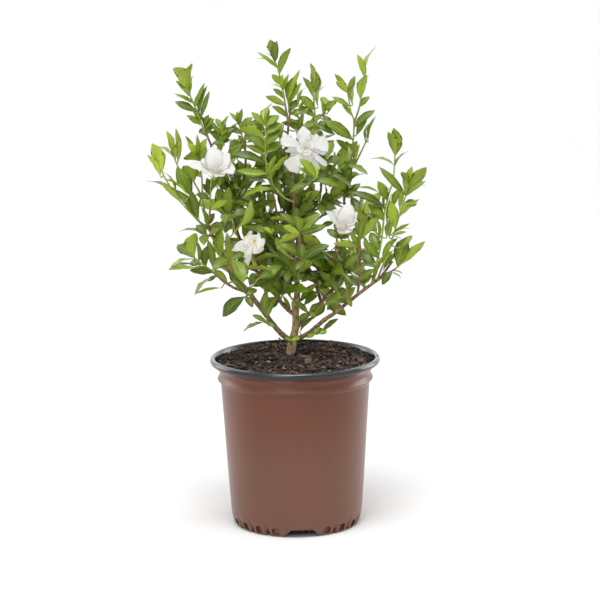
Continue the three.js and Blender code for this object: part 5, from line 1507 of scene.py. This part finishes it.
def add_crumbs():
    bm = new_mesh()
    for i in range(CRUMB_COUNT):
        r = (SOIL_RADIUS - 2.5) * math.sqrt(draw(i * 1.1 + 0.2))
        angle = 2 * math.pi * draw(i * 2.3 + 0.9)
        x, y = r * math.cos(angle), r * math.sin(angle)
        if math.hypot(x - TRUNK_FOOT[0], y - TRUNK_FOOT[1]) < TRUNK_FOOT[2]:
            continue
        kind = draw(i * 3.7 + 0.1)
        size = 0.6 + 3.8 * draw(i * 5.1) ** 3
        tone = 0.34 * draw(i * 8.9)
        if kind > BEAD_FROM:
            size, tone = 0.5 + 0.8 * draw(i * 5.1), 0.8 + 0.2 * draw(i * 8.9)
        elif kind > CHIP_FROM:
            size, tone = size * 0.8, 0.35 + 0.3 * draw(i * 8.9)
        sliver = 1 + 3.2 * draw(i * 7.3) ** 2
        add_crumb(bm, (x, y, soil_height(x, y) + size * 0.3), size, sliver, tone, i)
    on_lip = (110.6, -5, POT_HEIGHT + 0.4)
    add_crumb(bm, on_lip, 1.1, 1.3, 0.1, 0.5)
    finished(bm, "potting_mix_crumbs", [], [CRUMB])


def add_crumb(bm, spot, size, sliver, tone, seed):
    """A lump of peat or bark, or a pale bead: longer than wide if asked."""
    layer = bm.verts.layers.float_color["tone"]
    turn = Matrix.Rotation(6.28 * draw(seed * 4.7), 4, "Z")
    turn @= Matrix.Rotation(draw(seed * 6.1), 4, "X")
    shape = Matrix.Diagonal((size * sliver, size, size * 0.7, 1))
    place = Matrix.Translation(Vector(spot)) @ turn @ shape
    for vert in bmesh.ops.create_icosphere(bm, subdivisions=1, radius=1)["verts"]:
        vert.co *= 1 + 0.7 * noise.noise(vert.co * 1.7 + Vector((seed, 0, 0)))
        vert.co = MM * (place @ vert.co)
        vert[layer] = (tone, 0.5, 0, 0)


# Dry brown scales at the trunk and on the mix: a place, the way each lies, its length and width.
SCRAPS = read_rows("""
    -19 2 249 -3 -1 7 7 4, -16 1 246 -5 -3 3 6 3.4, -13 0 239 -5 -2 4 5 3, 47 88 227 3 0 4 6 4,
    52 90 227 -2 -2 5 7 4, 56 89 226.5 4 1 3 6 3.4, 50 84 226.8 -4 -3 2 6 3.6,
    58 84 226.5 3 -3 1 5 3, -26 -40 228 5 2 0.6 7 3, 34 -62 227.6 -4 3 0.6 6 3
""")
SCRAP_UPPER = Vector((0.3, -0.6, 0.9))


def add_scraps():
    bm = new_mesh()
    for i, row in enumerate(SCRAPS):
        foot, way, (length, width) = Vector(row[:3]) * MM, Vector(row[3:6]), row[6:]
        tip = foot + way.normalized() * length * MM
        form = (6, 4, 0.4 * MM, 0.3 * MM, 0.1, 0.3, 2, 0.2, draw(i + 0.3))
        add_blade(bm, foot, tip, SCRAP_UPPER, width * MM, 0.15, 0.5, leaf_outline, form,
                  marked(0.5), (0, 0))
    finished(bm, "dry_scales", [], [SCRAP])


add_pot()
add_soil()
add_crumbs()
add_scraps()
add_wood()
for name, plan in SHOOTS.items():
    add_shoot(name, plan)
for number, name in enumerate(LIMBS):
    add_inner_sprays(number, name)
add_single_leaves()
for name, age in BLOOM_AGES_AND_GLOW.items():
    add_corolla(name, age)
    add_anthers(name)


# Floor, light and camera.
FLOOR_REACH = 40
LAMP_AIM = Vector((0, 0, 0.35))
CAMERA_TILT = 11.03
CAMERA_ROLL = -0.652
CAMERA_LENS = 160.85
CAMERA_SENSOR = 36
SHOWN_LIGHT = 1.3
WORLD_LIGHT = 0.55
SHINE_ABOVE = (0.0, 0.75, 0.5, 1.5)
SHINE_BEHIND = (-0.1, 0.5, 0.0, 0.8)


def add_floor():
    paint = Paint("pale_floor", 0.9, 0.1)
    paint.colour(paint.mix(paint.noise(2), "e0e0e0", "e4e4e4"))
    bm = bmesh.new()
    bmesh.ops.create_grid(bm, x_segments=1, y_segments=1, size=FLOOR_REACH)
    placed(bm, "floor", [paint.material])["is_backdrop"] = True


def add_lamp(name, kind, place, energy, **settings):
    """A lamp that points at the middle of the bush."""
    light = bpy.data.lights.new(name, kind)
    light.energy = energy
    for setting, value in settings.items():
        setattr(light, setting, value)
    lamp = bpy.data.objects.new(name, light)
    lamp.location = place
    lamp.rotation_mode = "QUATERNION"
    lamp.rotation_quaternion = (LAMP_AIM - Vector(place)).to_track_quat("-Z", "Y")
    bpy.context.scene.collection.objects.link(lamp)


def add_world():
    """White to look at, a softer light to the things in it, and a shine that grows up and back."""
    world = bpy.data.worlds.new("studio")
    world.use_nodes = True
    nodes = Nodes(world.node_tree)

    def light(strength):
        return nodes.add("Background", {"Color": "ffffff", "Strength": strength})[0]

    way = nodes.add("SeparateXYZ", {0: nodes.add("TexCoord")["Generated"]})
    above = nodes.add("MapRange", enumerate((way["Z"], *SHINE_ABOVE)))[0]
    behind = nodes.add("MapRange", enumerate((way["Y"], *SHINE_BEHIND)))[0]
    ray = nodes.add("LightPath")
    things = nodes.mix_shaders(ray["Is Glossy Ray"], light(WORLD_LIGHT),
                               light(nodes.plus(above, behind)))
    nodes.show("World Output", nodes.mix_shaders(ray["Is Camera Ray"], things, light(SHOWN_LIGHT)))
    bpy.context.scene.world = world


def add_camera():
    camera = bpy.data.objects.new("camera", bpy.data.cameras.new("camera"))
    tilt, roll = math.radians(CAMERA_TILT), math.radians(CAMERA_ROLL)
    ahead = Vector((0, math.cos(tilt), -math.sin(tilt)))
    right = Vector((1, 0, 0))
    up = right.cross(ahead)
    turned_right = right * math.cos(roll) + up * math.sin(roll)
    turned_up = up * math.cos(roll) - right * math.sin(roll)
    pose = Matrix((turned_right, turned_up, -ahead)).transposed().to_4x4()
    camera.matrix_world = Matrix.Translation(EYE * MM) @ pose
    camera.data.lens = CAMERA_LENS
    camera.data.sensor_width = CAMERA_SENSOR
    bpy.context.scene.collection.objects.link(camera)
    bpy.context.scene.camera = camera


add_world()
add_floor()
add_lamp("key", "SUN", (-0.15, -1.3, 3.8), 2.5, angle=math.radians(34))
add_lamp("front", "AREA", (-0.9, -2.8, 1.2), 16, shape="DISK", size=1.8)
for name, x, energy in (("left_wall", -1.5, 9), ("right_wall", 1.5, 13)):
    add_lamp(name, "AREA", (x, 0.7, 0.5), energy, shape="RECTANGLE", size=0.9, size_y=1.4)
add_camera()
bpy.context.scene.view_settings.view_transform = "Standard"

[[list(corner) for corner in box] for box in (box_before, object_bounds())]
